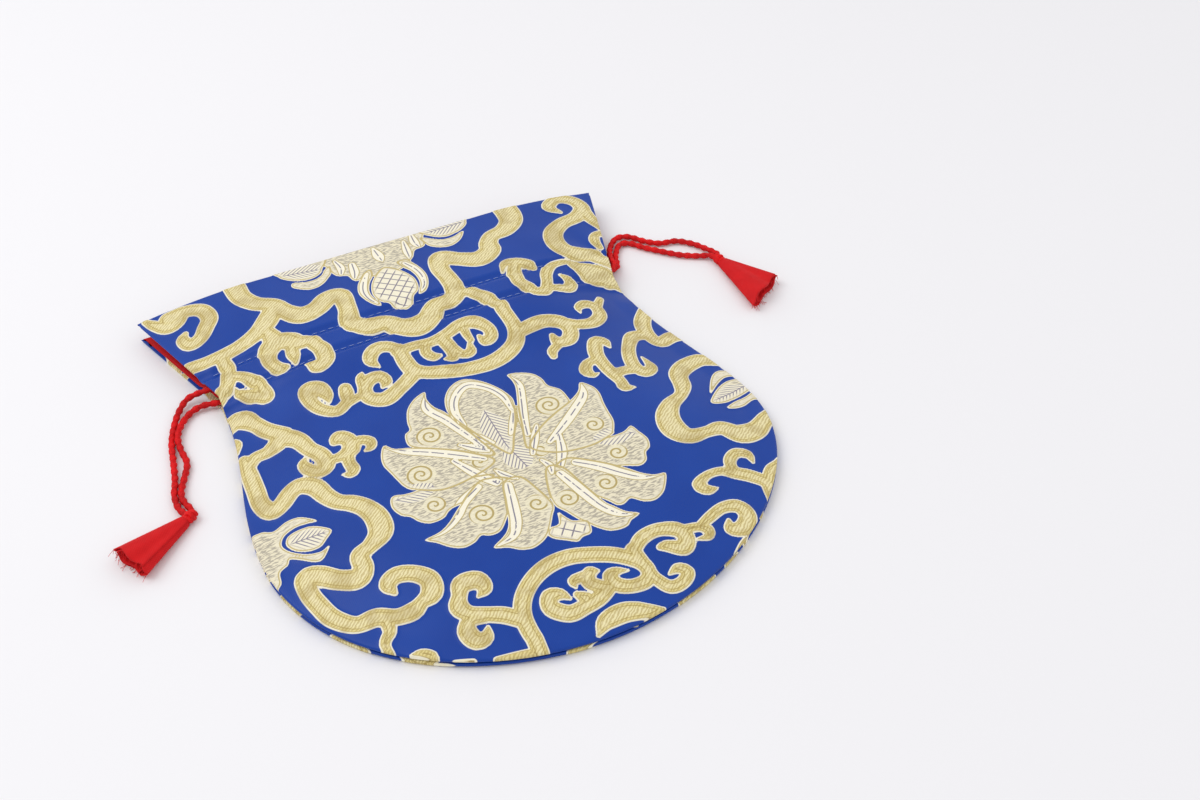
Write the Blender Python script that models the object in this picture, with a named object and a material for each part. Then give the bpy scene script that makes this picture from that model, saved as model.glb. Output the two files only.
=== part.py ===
"""Brocade drawstring pouch with a round bottom, lying flat with its mouth ajar.

Two brocade cloths are sewn together round the bottom and lined with red cloth. Two rows of
stitches below the mouth make a casing, where two red cords run round the neck. Each cord ends
in a knot and a cone-shaped tassel of folded cloth.

Units here are millimetres, turned to metres when a mesh is made. X runs across the pouch, Y from
the round bottom to the mouth, Z up. The back cloth lies on z = 0, and the origin is below the
middle of the pouch.
"""
import bmesh
import bpy
import numpy as np
from mathutils import Vector, geometry

MM = 0.001

# The pouch's outline
HEIGHT = 200.0
NECK_Y = 151.0
WIDEST_Y = 72.0
HALF_WIDEST = 88.5
HALF_NECK = 74.9
HALF_MOUTH = 90.0
SHOULDER_POWER = 1.2

# Cloths
CLOTH = 0.8
LINING = 0.4
LAYER_GAP = 0.3
FIGURE_RELIEF = 0.3
TURNED_EXTRA = 0.7
TURNED_WIDTH = 8.0
LINING_INSET = 8.5
LINING_FLAP_INSET = 1.6
LINING_MOUTH_INSET = 2.5

# Cords and the casing that they run in
CORD = 2.2
CORD_CLEARANCE = 0.4
CORD_SPACING = 5.0
CASING_Y = 155.5
CASING_WIDTH = 12.0
CASING_FADE = 6.0
THREAD_WIDTH = 0.6
THREAD = 0.35
THREAD_STEP = 6.0
SEAM_DIP = 1.0
DIP_FLAT = 0.6
DIP_HALF = 2.4
SEAM_END_INSET = 4.0

# How far the front cloth stands over the back one
BODY_ROOM = 7.0
NECK_ROOM = 4.6
MOUTH_ROOM = 9.2
SIDE_LIFT = 4.6
CORNER_LIFT = 0.8
ROLL = 45.0
SWELL_START = 118.0
SWELL_END = 148.0

# Knots and tassels
KNOT_LENGTH = 5.6
KNOT_WIDTH = 4.6
KNOT_HEIGHT = 4.0
TASSEL_WALL = 0.7
TASSEL_TIP_WIDTH = 4.4
TASSEL_TIP_HEIGHT = 3.4

# Spacing of the points of the meshes
OUTLINE_STEP = 8.0
SHEET_STEP = 12.0
FIGURE_STEP = 2.0
FIGURE_BEND = 0.3
CORD_STEP = 4.6
CHANNEL_STEP = 7.5

# Free ends of the cords, from the casing's end to the knot, and the knots and tassels
LEFT_UPPER = [(-83.2, 159.8, 2.6), (-87.8, 156.0, 1.7), (-91.6, 149.4, 1.4), (-94.6, 141.6, 1.3),
              (-96.4, 132.9, 1.3), (-98.2, 124.3, 1.3), (-100.2, 117.6, 1.3), (-100.6, 111.8, 1.5),
              (-99.8, 108.3, 1.9)]
LEFT_LOWER = [(-80.2, 154.4, 1.9), (-84.4, 153.8, 1.5), (-87.9, 149.2, 1.4), (-90.2, 143.9, 1.3),
              (-91.2, 137.4, 1.3), (-92.6, 130.2, 1.3), (-94.9, 124.0, 1.3), (-97.0, 118.6, 1.3),
              (-97.9, 113.6, 1.5), (-97.2, 108.6, 1.9)]
RIGHT_UPPER = [(79.2, 157.9, 4.4), (80.6, 163.4, 3.2), (84.0, 170.4, 2.2), (89.4, 175.6, 1.5), (94.4, 174.6, 1.3),
               (98.6, 169.2, 1.3), (103.2, 165.4, 1.3), (109.4, 163.9, 1.3), (114.2, 159.5, 1.3),
               (117.2, 154.0, 1.5), (118.9, 149.3, 1.9)]
RIGHT_LOWER = [(80.9, 158.8, 2.0), (83.8, 165.4, 1.7), (88.6, 171.4, 1.4), (92.8, 170.6, 1.3),
               (96.6, 165.6, 1.3), (101.2, 160.6, 1.3), (106.2, 155.6, 1.3), (111.0, 152.4, 1.3),
               (114.6, 150.4, 1.5), (116.2, 149.1, 1.9)]
LEFT_KNOT = (-98.6, 105.6)
LEFT_TASSEL_END = ((-123.1, 100.9), (-116.4, 86.6))
LEFT_TASSEL_HEIGHT = 7.0
RIGHT_KNOT = (117.8, 145.4)
RIGHT_TASSEL_END = ((131.8, 125.9), (113.9, 114.5))
RIGHT_TASSEL_HEIGHT = 6.0

# The woven figure. A ribbon is a list of (x, y, width) along its middle, and a petal is a list
# of (x, y) round its edge.
RIBBONS = {
    "corner_curl": [(-76.3, 187, 2.5), (-78.2, 184, 5), (-76.5, 180.6, 6), (-72, 182.5, 6), (-68.5, 187, 6.5),
                    (-65.8, 191.5, 6.5), (-67.2, 197, 6.5), (-73, 199, 6.5), (-79, 197.5, 8)],
    "corner_lobe": [(-87.5, 200, 3), (-85, 196.5, 5), (-81, 193.5, 7), (-77, 194.5, 6), (-74, 198, 5)],
    "band": [(-52.5, 204, 8.5), (-52, 197, 8), (-48.5, 191.3, 7.5), (-43, 187.5, 7.5), (-40.2, 182, 8),
             (-36, 177.5, 9.5), (-30, 178.3, 8.5), (-24.5, 182, 8.5), (-20, 181.5, 8), (-20.2, 173.5, 7),
             (-21.5, 166.5, 8.5), (-18.5, 161, 9.5), (-11, 159.8, 8), (-7, 155.5, 9), (-2, 153.3, 10.5),
             (3.5, 155.5, 9), (8, 160.3, 8), (14, 161, 8.5), (18, 165.5, 8), (18.4, 173, 7.3), (18, 180.5, 7.5),
             (20.8, 186, 8.8), (26.5, 182.5, 8.5), (33, 179.3, 9.5), (38.7, 182, 8.5), (40, 186.3, 7.5),
             (43, 190, 7), (48.5, 191.2, 8), (53, 195, 9), (54.5, 200, 10), (54.5, 208, 10)],
    "branch_left": [(-43, 187.5, 6), (-47, 181, 8.5), (-52.5, 176, 7.5), (-60, 172.2, 6.5), (-68, 169.8, 6),
                    (-75, 168.8, 6), (-83, 168.3, 6)],
    "left_stem": [(-68.7, 168, 5.5), (-68.4, 162, 6), (-70, 157, 7), (-73, 152.5, 6.5), (-78, 147, 6)],
    "left_curl": [(-70.3, 149.3, 2), (-69.8, 146.3, 4.8), (-66, 144.3, 6.5), (-62.3, 141.5, 6.5),
                  (-61.5, 146.5, 6), (-62, 152, 6.5), (-65.5, 156.2, 5.5), (-68.5, 158, 4)],
    "hook_stem": [(-49.6, 176, 5), (-48.8, 170, 8)],
    "hook": [(-48.8, 154.9, 2), (-52.3, 155.2, 5.3), (-53.9, 159.5, 5.6), (-52.8, 164.5, 7.8), (-47.8, 167.8, 8.5),
             (-42.3, 165.3, 8.5), (-37.5, 161.3, 6.5), (-35.2, 156, 6.8), (-36.8, 150.5, 6.8), (-40.3, 149, 6.2),
             (-42.3, 152.6, 2.5)],
    "hook_bud": [(-45.8, 155.3, 1.8), (-45.3, 158.6, 5), (-45, 163, 5)],
    "comma": [(-42.9, 130.9, 2), (-42.4, 134.5, 4.8), (-43.7, 138.6, 6.6), (-47.3, 139.5, 6.8), (-48.5, 134.3, 5.6),
              (-46.8, 128.5, 5), (-42.3, 125, 5), (-37.8, 127.3, 4.5), (-33.3, 128.3, 3.6)],
    "comma_leaf": [(-37.3, 127.8, 4), (-36.3, 131.5, 5.4), (-35.6, 134.6, 4.8)],
    "scroll": [(-24.3, 129.3, 1.8), (-22.2, 131.6, 4.6), (-23.2, 135, 5.2), (-27, 134.7, 5.5), (-30, 131, 5.2),
               (-30.3, 126, 6), (-26, 123, 7), (-19.8, 126, 6), (-14.5, 129.5, 6), (-11, 132, 6)],
    "scroll_tip": [(-27.6, 139.5, 1), (-29, 136.8, 4), (-29.8, 132.5, 4.5)],
    "loop": [(-12, 145, 5.5), (-12.4, 138.5, 6.3), (-11.8, 133, 6.5), (-8.5, 129.7, 6), (-3, 127.3, 6.5),
             (4, 125, 6.6), (12, 124.2, 7), (19, 126, 7), (25, 130.3, 6.5), (28.3, 136.8, 6), (28.9, 144, 5.6),
             (28.2, 151.5, 6), (25.7, 158, 6.3), (20.5, 162.8, 6)],
    "loop_top": [(-21.2, 139.6, 1.2), (-22.8, 144, 5), (-20, 148, 5.8), (-15.2, 148, 5.4), (-12, 144.8, 5)],
    "loop_bar": [(-13, 144, 5), (-7, 144.4, 4.4), (0, 143.8, 4.6), (6.5, 145.5, 5), (12, 147.6, 5.6),
                 (17, 146.8, 6.5), (20, 142, 5.2), (19.3, 137.5, 5), (16.4, 136, 4.6), (15.5, 139.3, 2)],
    "loop_lobe_a": [(0.2, 133.4, 1.5), (3.2, 133.2, 4.2), (4.2, 138, 5.6), (3.4, 144, 5.6)],
    "loop_lobe_b": [(11, 137.2, 2), (9.6, 133.2, 4.2), (6.6, 133, 4), (4.8, 137.5, 4.5)],
    "loop_post": [(12, 138.8, 3), (12, 142.5, 3.6), (12.5, 147, 4)],
    "loop_curl": [(-0.3, 136, 1.5), (-3, 136.4, 4.2), (-4.3, 139.5, 4.4), (-3, 143, 4)],
    "edge_arm": [(-80, 135, 8), (-74, 135.3, 8.6), (-70.3, 130.8, 6.2), (-67.6, 126.5, 6.4), (-63, 122, 7)],
    "edge_arch": [(-79, 112.5, 5.5), (-75.2, 116, 5.5), (-70.8, 116.6, 5.8), (-67, 118.3, 7.2), (-63.3, 120.3, 8),
                  (-59.2, 117.5, 6.8), (-57, 112, 6), (-54.4, 107.7, 6.2), (-54, 103, 6.2), (-56.5, 100.8, 5.6),
                  (-60, 102.8, 5.2), (-61.2, 106.3, 4), (-59.5, 108.5, 1.5)],
    "edge_spot": [(-79.8, 129, 1.5), (-78.4, 125, 3), (-79.8, 121, 1.5)],
    "trefoil_a": [(-52.5, 104.2, 4), (-48.5, 104, 5), (-44.6, 105.6, 6.5), (-43.8, 109.8, 6), (-46.2, 112.5, 6.4),
                  (-48, 111.3, 4)],
    "trefoil_b": [(-44, 107.5, 5), (-40.6, 108.2, 4.6), (-37.9, 106.3, 4.4), (-38.4, 103.6, 3.4),
                  (-40.8, 102.8, 1.2)],
    "trefoil_c": [(-46.5, 104, 5), (-47.2, 100, 4.4), (-47, 96.7, 4.6), (-48.6, 95.2, 3.4), (-51, 96.3, 1)],
    "side_band_left": [(-79, 116.5, 4.5), (-79.2, 110, 6), (-79.5, 102, 6.3), (-79.8, 95, 6.4), (-77.6, 91, 7.4),
                       (-73.5, 92.5, 7), (-69, 96.3, 7), (-65, 97.6, 7.2), (-61, 95, 7), (-59, 89.8, 6.4),
                       (-56.5, 85.8, 6.2), (-52.5, 83, 6.8), (-49.3, 79, 7.2), (-47.8, 73.5, 8), (-49, 67.5, 8),
                       (-54, 63.7, 6), (-58.3, 61.5, 6.2), (-59.3, 56, 6.6), (-62.5, 52.8, 7.6), (-68, 54.8, 7),
                       (-73, 58.8, 7.4), (-77, 59.3, 7.4), (-78.3, 53.5, 6.3), (-77.3, 47, 6.3),
                       (-75.3, 40.5, 6.4), (-70.5, 35.5, 6), (-64, 35.2, 6.3), (-58.5, 32.7, 5.6),
                       (-53, 32.9, 6.2), (-49, 35.3, 5), (-45, 37.5, 7), (-43.4, 42.8, 6.6), (-46.5, 47.2, 6),
                       (-51.5, 48.9, 6.2), (-55.3, 46.5, 5.6), (-54.8, 42.2, 2)],
    "left_twig": [(-61.5, 33, 5), (-62.4, 28.5, 4.3), (-65.2, 25.2, 3.6), (-64.5, 21, 2.2)],
    "left_spot": [(-60, 18.7, 0.8), (-57, 17.7, 3), (-54.5, 15.6, 3.2), (-53.8, 13.4, 1.5)],
    "low_curl_a": [(-33.3, 30, 1.5), (-30.2, 32.3, 4.8), (-31, 36.3, 6.5), (-35.5, 36.8, 6.5), (-38.2, 32.8, 5),
                   (-40.3, 28.5, 6.2), (-38.8, 24.6, 5.3), (-34.5, 22, 5.2), (-30, 19.3, 5.6), (-26.2, 15, 5.5)],
    "low_curl_b": [(-36.3, 17, 1.5), (-38.3, 13.9, 4.6), (-41.4, 13.8, 6), (-42.4, 18.3, 6), (-39.8, 21.8, 4.6),
                   (-35, 21.5, 4.5)],
    "low_loop": [(-26.5, -4, 5), (-26.3, 6, 5.5), (-25.7, 15, 5.6), (-22.5, 22.5, 5.6), (-17, 28.3, 5.6),
                 (-10, 31.9, 5.8), (-2.5, 32.7, 5.8), (5, 30.7, 5.8), (11.5, 27.5, 5.8), (16.2, 22.5, 5.6),
                 (16.8, 17.5, 5.2), (14, 13.9, 5), (9, 13.6, 4.8), (5.3, 16, 5.4), (5.2, 20, 5), (8, 21.3, 3.2),
                 (11.4, 20.3, 1)],
    "low_swirl": [(-10, 16.6, 1.5), (-11.8, 19.5, 4), (-15, 19.8, 5.6), (-16.6, 15.3, 5.8), (-13, 10.8, 5.6),
                  (-7.5, 11.3, 5.2), (-2, 13, 5.4), (3, 15.8, 4.5)],
    "low_bud": [(-7.4, 17, 2.6), (-5.8, 14.3, 5)],
    "low_crest": [(2.9, 23.8, 1.5), (0.3, 24, 4.4), (-1.8, 20.8, 5), (0, 17.5, 5), (3.5, 15.5, 4)],
    "low_crest_tip": [(-6.3, 20, 1.2), (-5.8, 22.8, 3.6), (-2.5, 23.3, 4)],
    "low_stem": [(17, 28, 5), (17, 20, 5), (17.2, 13.8, 4.6), (19.8, 9, 5), (24.5, 9.5, 4.6), (27.5, 12.7, 4.8),
                 (25.5, 15, 3.8), (22, 13.9, 1.2)],
    "low_wave": [(17, 27.5, 4.5), (22, 31.6, 5), (28, 32.9, 5), (33.6, 30.5, 6), (34.5, 26, 6), (31.5, 22.8, 6),
                 (27.3, 25.3, 4.4), (25, 25.7, 2.4)],
    "low_link": [(35, 29.6, 4), (40, 28.6, 3.6), (42.2, 26, 4.4), (40.8, 23.4, 3), (37, 24, 1)],
    "low_end": [(41, 28.6, 3.4), (45.5, 30.5, 4), (51, 32, 4.3), (55.6, 30, 5.6), (56.2, 25, 6), (52.5, 21.2, 6.6),
                (48.9, 22.6, 5), (50, 26.4, 1.6)],
    "low_edge": [(-8.8, 0.5, 1.5), (-4.5, 3.5, 6), (2, 4.6, 7), (8, 3, 5.6), (14, 2.2, 1.5)],
    "low_edge_right": [(45, 13, 2), (51, 16.5, 3), (58, 18.6, 1.5)],
    "seam_patch_a": [(-50, 10.5, 3), (-45, 8.3, 3)],
    "seam_patch_b": [(-38.5, 6, 2.5), (-30, 4, 3), (-27, 3, 3)],
    "vine_curl_a": [(54, 40.2, 1), (50.6, 41.3, 4.4), (49.2, 44, 4.8), (53, 46.3, 3.4), (58, 46, 3.6), (62, 43, 5),
                    (66, 39.5, 5.6), (69, 35, 5.4), (69, 30, 6.4), (67.5, 26, 5)],
    "vine_curl_b": [(69.8, 44.2, 1.5), (69.8, 47.8, 4), (66.5, 50, 4.2), (63, 48, 4.4), (62.6, 43.8, 4.4),
                    (66, 39.8, 5)],
    "vine_leaf": [(69.5, 34, 5), (73.3, 38.3, 5), (78, 41, 3.6), (86, 46.5, 3)],
    "side_band_right": [(91, 61.5, 7), (83, 58, 6.5), (77.5, 55.4, 8), (72, 56.3, 8.6), (67.8, 60.9, 6.8),
                        (62.5, 61.8, 5), (56.5, 62.8, 7), (53.3, 67, 9.4), (53.8, 72.7, 8.5), (57.5, 77.3, 6.4),
                        (63, 80, 4.8), (65.8, 84, 6.5), (67.5, 89.5, 7), (72.5, 92.6, 7.5), (78, 92.9, 7),
                        (83, 90, 6), (89, 86, 5)],
    "right_trunk": [(79, 130, 5), (73.5, 124.6, 6), (69.5, 119, 6.5), (68.7, 112.5, 6), (70.5, 107.8, 6),
                    (76, 108.3, 6.4), (84, 107, 6)],
    "right_ribbon": [(68.5, 113.5, 6), (63.3, 114.6, 6), (59.7, 111, 5.2), (57, 105.8, 5.4), (55.9, 100, 5.6),
                     (57.6, 95.6, 5.6), (61, 97, 4.4), (60.6, 103.4, 1)],
    "right_sliver": [(76, 135, 2), (76, 128, 4)],
    "twig": [(53, 112.6, 1.2), (52.6, 116.3, 4.4), (50, 117.6, 5.6), (47.2, 112, 5.8), (46.8, 106, 5.4),
             (47.3, 100.5, 5.4), (48, 95, 4.5), (47.9, 91.7, 4.4), (51, 90.2, 1)],
    "twig_left": [(46.5, 109, 4.2), (42.2, 108.4, 4.4), (40, 105.2, 4.8), (41.2, 102.2, 3), (43.3, 102.3, 1)],
    "twig_right": [(47.5, 99.5, 5), (52, 99.4, 4.8), (56, 98, 5)],
    "wave": [(27.5, 134.5, 5), (33, 136, 6.4), (39, 136, 6.5), (44, 132.3, 6.8), (44.8, 127, 6), (42, 122.8, 6),
             (38.3, 123.4, 5), (38, 127.6, 2.4)],
    "wave_leaf": [(38.5, 122.6, 4), (34.5, 120, 4), (33.5, 117, 2.8)],
    "wave_tail": [(45, 131.5, 5.5), (49, 128.6, 5.2), (54, 127.4, 5.5), (58, 130, 5.4), (58.6, 135, 5),
                  (56, 137.8, 4.6), (52.8, 137, 3.2), (52.3, 134, 1)],
    "wave_bud": [(59, 134.5, 4), (62.4, 138.5, 3)],
    "shoulder_a": [(37.6, 168.4, 1.5), (40.3, 172, 4), (44.4, 171, 5.6), (48.2, 167.8, 5), (48.2, 163.4, 2)],
    "shoulder_b": [(43.6, 170.5, 5), (41, 165.5, 6), (40.2, 160.5, 5.5), (42.5, 155, 5.5), (45.8, 150.6, 6),
                   (49, 154.5, 4.6), (51.4, 160, 4.8), (56, 163.3, 4.8), (61, 162.6, 4.6), (63.6, 158.3, 6),
                   (67, 152.5, 11), (70.5, 146, 8), (75, 139.5, 6)],
    "shoulder_c": [(55.4, 156.8, 1.8), (57.4, 152.6, 4.2), (55.2, 149, 5.6), (51.4, 150.2, 5), (48, 153, 4)],
    "crest": [(72.9, 192.4, 2), (70.2, 197.5, 5.6), (75, 200.9, 5.4), (80.5, 197.5, 6.5), (81.6, 191.5, 7),
              (77, 187.2, 6.6), (70, 185.6, 6.6), (64.5, 181.5, 7.6), (62.6, 175, 8.2), (64.5, 169, 7.6),
              (69.3, 164.6, 8), (73, 160.2, 8), (77, 155.5, 8)],
    "crest_side": [(81.5, 191, 6.5), (81.6, 184, 6), (84, 176, 5)],
    "crest_curl": [(76.5, 166, 3), (76.6, 171, 4.6), (79.3, 174.2, 3.6), (84, 172, 5)],
}
PETALS = {
    "upper_left": [(-13, 120.3), (-17.5, 118.6), (-21.5, 114.6), (-23.8, 109), (-24.5, 105), (-26.5, 104),
                   (-27.6, 100), (-26.6, 97), (-20, 92), (-12, 86), (-4, 82), (-6, 92), (-8.5, 100),
                   (-10.5, 107.5), (-13, 112), (-13.8, 116.5)],
    "upper_right": [(15.3, 116), (19.5, 115), (23.3, 112.3), (25, 108.5), (25.3, 104.6), (28, 101), (28.6, 97),
                    (27.8, 92.8), (21, 88), (13, 83), (6, 80), (9, 91), (11.5, 99), (14, 105.5), (15.3, 109.5),
                    (15.5, 113)],
    "left": [(-34.5, 102.3), (-37, 98.5), (-38, 94), (-37.3, 90), (-36.5, 86), (-35.5, 82), (-33, 79), (-25, 75),
             (-14, 76), (-5, 80), (-12, 88), (-20, 93.5), (-27, 97.3), (-32, 99.3)],
    "right": [(35.5, 101), (38.5, 97), (39, 93), (38, 88), (37.5, 84), (37, 79), (35, 75), (33.5, 73.5), (25, 72),
              (14, 74), (7, 80), (13, 86.5), (21, 91), (28, 94), (33, 97.3)],
    "side_left": [(-40.5, 79.8), (-42.3, 75.5), (-41, 71), (-38.6, 69), (-37, 66), (-34, 63.7), (-29.5, 64),
                  (-26, 66.5), (-18, 68), (-8, 74), (-17, 77), (-27, 78.6), (-35.5, 78.8)],
    "side_right": [(41, 74.8), (42.3, 71.5), (43.5, 67.5), (42.3, 64), (40.3, 63), (39, 60), (36, 58.7),
                   (31.5, 60.3), (23, 63), (12, 69), (16, 73), (25, 74.5), (33, 73.3), (38, 73.5)],
    "lower_left": [(-38.3, 58.2), (-35.5, 55.5), (-32.5, 52), (-29, 50), (-25, 50.5), (-22.3, 52.2), (-20, 51),
                   (-16.8, 51), (-13.8, 53.5), (-9, 60), (-4, 70), (-12, 74), (-18, 71), (-24, 66), (-29, 61.5),
                   (-33, 59.2)],
    "lower_right": [(42, 53), (39.5, 48.5), (37, 46), (33.5, 44.6), (30, 45.4), (26.8, 48), (24, 46.7), (21.5, 47),
                    (19.3, 50), (13, 57), (8, 66), (15, 71), (23, 66.5), (31, 60), (35, 56), (38.5, 53.8)],
    "bottom_left": [(-21, 46), (-17, 44), (-14, 41.5), (-10.5, 40.5), (-7, 41.5), (-4.3, 43.3), (-2, 46),
                    (1, 50.5), (3.3, 54.5), (2, 62), (-1, 70), (-7, 70), (-10, 62), (-12.5, 54), (-14.5, 50.5),
                    (-17, 48.5)],
    "bottom_right": [(26.5, 41.5), (22.5, 39.7), (21, 38.2), (18, 37.5), (14.5, 38), (12, 40), (10.3, 42),
                     (7.8, 45.5), (5.5, 50), (3.3, 54.5), (4.5, 62), (8, 70), (13, 68), (16, 58), (18.5, 50),
                     (20.5, 47), (23, 43.8)],
    "heart": [(-20, 86.3), (-16.7, 79.2), (-11.7, 73.3), (-8.8, 69.2), (-3.3, 68.8), (0.4, 68.8), (2.9, 65.8),
              (6.7, 67.1), (13.3, 67.5), (16.7, 70.8), (19.6, 76.7), (21.7, 80.4), (16.7, 82.5), (12.5, 86.3),
              (8.3, 83.3), (3.3, 85), (0, 83.8), (-5, 84.2), (-9.2, 88.3), (-14.2, 89.2)],
    "crown": [(1, 120.6), (-4, 119.2), (-8, 114.8), (-10, 108.8), (-9.6, 103.5), (-7, 96), (-4, 88), (0.5, 80),
              (5, 87), (9, 94.5), (11.8, 102.5), (11.6, 106.5), (9.8, 111.5), (6, 117.2)],
    "calyx": [(3.2, 37.5), (0, 39.4), (-3, 41.5), (-4, 43.8), (-2.2, 46), (0.8, 46.3), (2, 48.5), (3, 51.5),
              (4.2, 48.8), (5.6, 46.3), (7.7, 45.5), (10, 44.3), (9.8, 41.5), (8.5, 39.2), (5.5, 38.8)],
    "pod": [(-2, 162.3), (-4.5, 165.5), (-6, 169.5), (-8.3, 171.5), (-9.6, 176), (-8, 182), (-4.5, 187), (0, 190),
            (4.5, 186), (7.2, 180.5), (7.5, 176), (6.2, 171.8), (3.5, 169.5), (1.5, 165.5)],
    "bract_left": [(-8.5, 169.3), (-11, 170.8), (-13.3, 175), (-13.6, 180), (-11.8, 185), (-12.8, 188.5),
                   (-14.5, 192), (-17.5, 194), (-18.5, 197), (-18.5, 208), (0, 208), (0, 191), (-5, 189.5),
                   (-8.8, 184), (-10, 178), (-9.8, 173)],
    "bract_right": [(5.8, 169.6), (8.8, 170.6), (11.5, 175), (12, 181), (10.8, 187), (11.5, 190.8), (14, 194.8),
                    (17.5, 196.6), (19, 208), (0, 208), (0, 191), (4.5, 189), (8.3, 183), (8.6, 177), (7.5, 172)],
    "wing_left": [(-38, 208), (-36, 200), (-34, 196), (-30.5, 192), (-26, 190.3), (-22, 191.5), (-19, 194.5),
                  (-17, 200), (-17, 208)],
    "wing_right": [(17, 208), (18, 200), (19.8, 196.5), (23.5, 193.3), (28, 192), (32, 193.3), (35, 197),
                   (38, 203), (39, 208)],
    "bud_left": [(-62.3, 75.3), (-65, 78.2), (-68.5, 79.8), (-73, 79.6), (-76.5, 78.2), (-78, 75), (-76, 71.5),
                 (-72, 69.8), (-68, 70.1), (-65, 72.5)],
    "cup_left": [(-65, 80.8), (-67, 83), (-70.5, 85), (-75, 84.6), (-80, 82.4), (-84, 83.6), (-90, 80), (-90, 60),
                 (-85, 60), (-83.5, 65), (-80, 67), (-79, 69), (-76, 67.5), (-72, 64.8), (-69, 65), (-65, 69.8),
                 (-68.5, 68.3), (-73, 69), (-77.5, 72), (-79.3, 75.5), (-77.3, 79), (-73, 81), (-69, 81.2)],
    "bud_right": [(70.3, 72.3), (73.5, 75.6), (78, 78.3), (82, 79), (86, 78), (87.5, 75), (86.5, 72.2), (83, 71),
                  (78, 70.2), (74, 70.3)],
    "cup_right": [(72.4, 76), (75, 80.6), (78, 84), (81, 84.9), (84.5, 83.3), (87.5, 80.5), (92, 78), (92, 66),
                  (85, 67.4), (80, 66.2), (76.5, 66.5), (74, 68), (78, 69.3), (83.5, 70), (88, 72.3), (88.5, 76),
                  (86, 79), (82, 80.8), (78, 79.6)],
}
# The figure's tables hold it as seen slantwise, as if all of it lay TRACED_HEIGHT up. lay_figure
# moves each point towards the viewer where the cloth stands higher, and away where it lies lower.
TRACED_HEIGHT = 8.0
SEEN_SLANT = (0.4996, 0.9755)
TRACE_SHIFT = (0.6, -0.7)
FIGURE_MARGIN = 2.0

# Sizes that follow from the ones above
CORD_ROOM = CORD + 2.0 * CORD_CLEARANCE
SEAM_ROWS = (CASING_Y - CASING_WIDTH / 2, CASING_Y + CASING_WIDTH / 2)
SEAM_LINES = tuple(row + side for row in SEAM_ROWS for side in
                   (-DIP_HALF, -DIP_FLAT, DIP_FLAT, DIP_HALF))
CHANNEL_HALF = (CORD_SPACING + CORD) / 2 + CORD_CLEARANCE
CASING_LINES = (CASING_Y - CHANNEL_HALF - CASING_FADE, CASING_Y - CHANNEL_HALF, CASING_Y,
                CASING_Y + CHANNEL_HALF, CASING_Y + CHANNEL_HALF + CASING_FADE)


def smoothstep(start, end, value):
    """Ease from 0 at start to 1 at end."""
    t = np.clip((np.asarray(value, float) - start) / (end - start), 0.0, 1.0)
    return t * t * (3.0 - 2.0 * t)


def half_width(y):
    """Half of the pouch's width: an oval bottom, shoulders that draw in to the neck, a flare."""
    y = np.asarray(y, float)
    oval = HALF_WIDEST * np.sqrt(np.clip(1.0 - ((WIDEST_Y - y) / WIDEST_Y) ** 2, 0.0, 1.0))
    along = np.clip((y - WIDEST_Y) / (NECK_Y - WIDEST_Y), 0.0, 1.0)
    swing = np.clip(0.5 + 0.5 * np.cos(np.pi * along), 0.0, 1.0) ** SHOULDER_POWER
    shoulder = HALF_NECK + (HALF_WIDEST - HALF_NECK) * swing
    flare = HALF_NECK + (HALF_MOUTH - HALF_NECK) * (y - NECK_Y) / (HEIGHT - NECK_Y)
    return np.where(y < WIDEST_Y, oval, np.where(y < NECK_Y, shoulder, flare))


def side_heights(step):
    """Heights of points up one side, with one at each line of the casing's seams."""
    quarter = 0.5 * np.pi * np.hypot(HALF_WIDEST, WIDEST_Y) / np.sqrt(2.0)
    turns = np.linspace(0.0, 0.5 * np.pi, 1 + int(round(quarter / step)))
    heights = list(WIDEST_Y * (1.0 - np.cos(turns)))
    fixed = sorted([WIDEST_Y, NECK_Y, HEIGHT] + list(SEAM_LINES))
    for low, high in zip(fixed, fixed[1:]):
        count = max(1, int(round((high - low) / step)))
        heights += list(np.linspace(low, high, count + 1)[1:])
    return np.array(heights)


def seam_line():
    """Both side seams as one fine line, carried on past the mouth."""
    heights = np.append(side_heights(2.0), HEIGHT + 60.0)
    right = np.stack([half_width(heights), heights], 1)
    return np.vstack([right[:0:-1] * (-1.0, 1.0), right])


def line_distance(x, y, line):
    """Distance of each point from a line of short straight pieces."""
    nearest = np.full(np.shape(x), 1e9)
    for (ax, ay), (bx, by) in zip(line, line[1:]):
        dx, dy = bx - ax, by - ay
        t = np.clip(((x - ax) * dx + (y - ay) * dy) / (dx * dx + dy * dy), 0.0, 1.0)
        nearest = np.minimum(nearest, np.hypot(x - ax - t * dx, y - ay - t * dy))
    return nearest


SIDE_SEAMS = seam_line()


def edge_distance(x, y):
    """How far a point is from the side and bottom seams."""
    return line_distance(np.asarray(x, float), np.asarray(y, float), SIDE_SEAMS)


def seam_dip(y):
    """How far the stitches pull a cloth in along the casing's two seams."""
    dip = np.zeros(np.shape(y))
    for row in SEAM_ROWS:
        near = (DIP_HALF - np.abs(y - row)) / (DIP_HALF - DIP_FLAT)
        dip = np.maximum(dip, np.clip(near, 0.0, 1.0))
    return SEAM_DIP * dip


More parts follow.
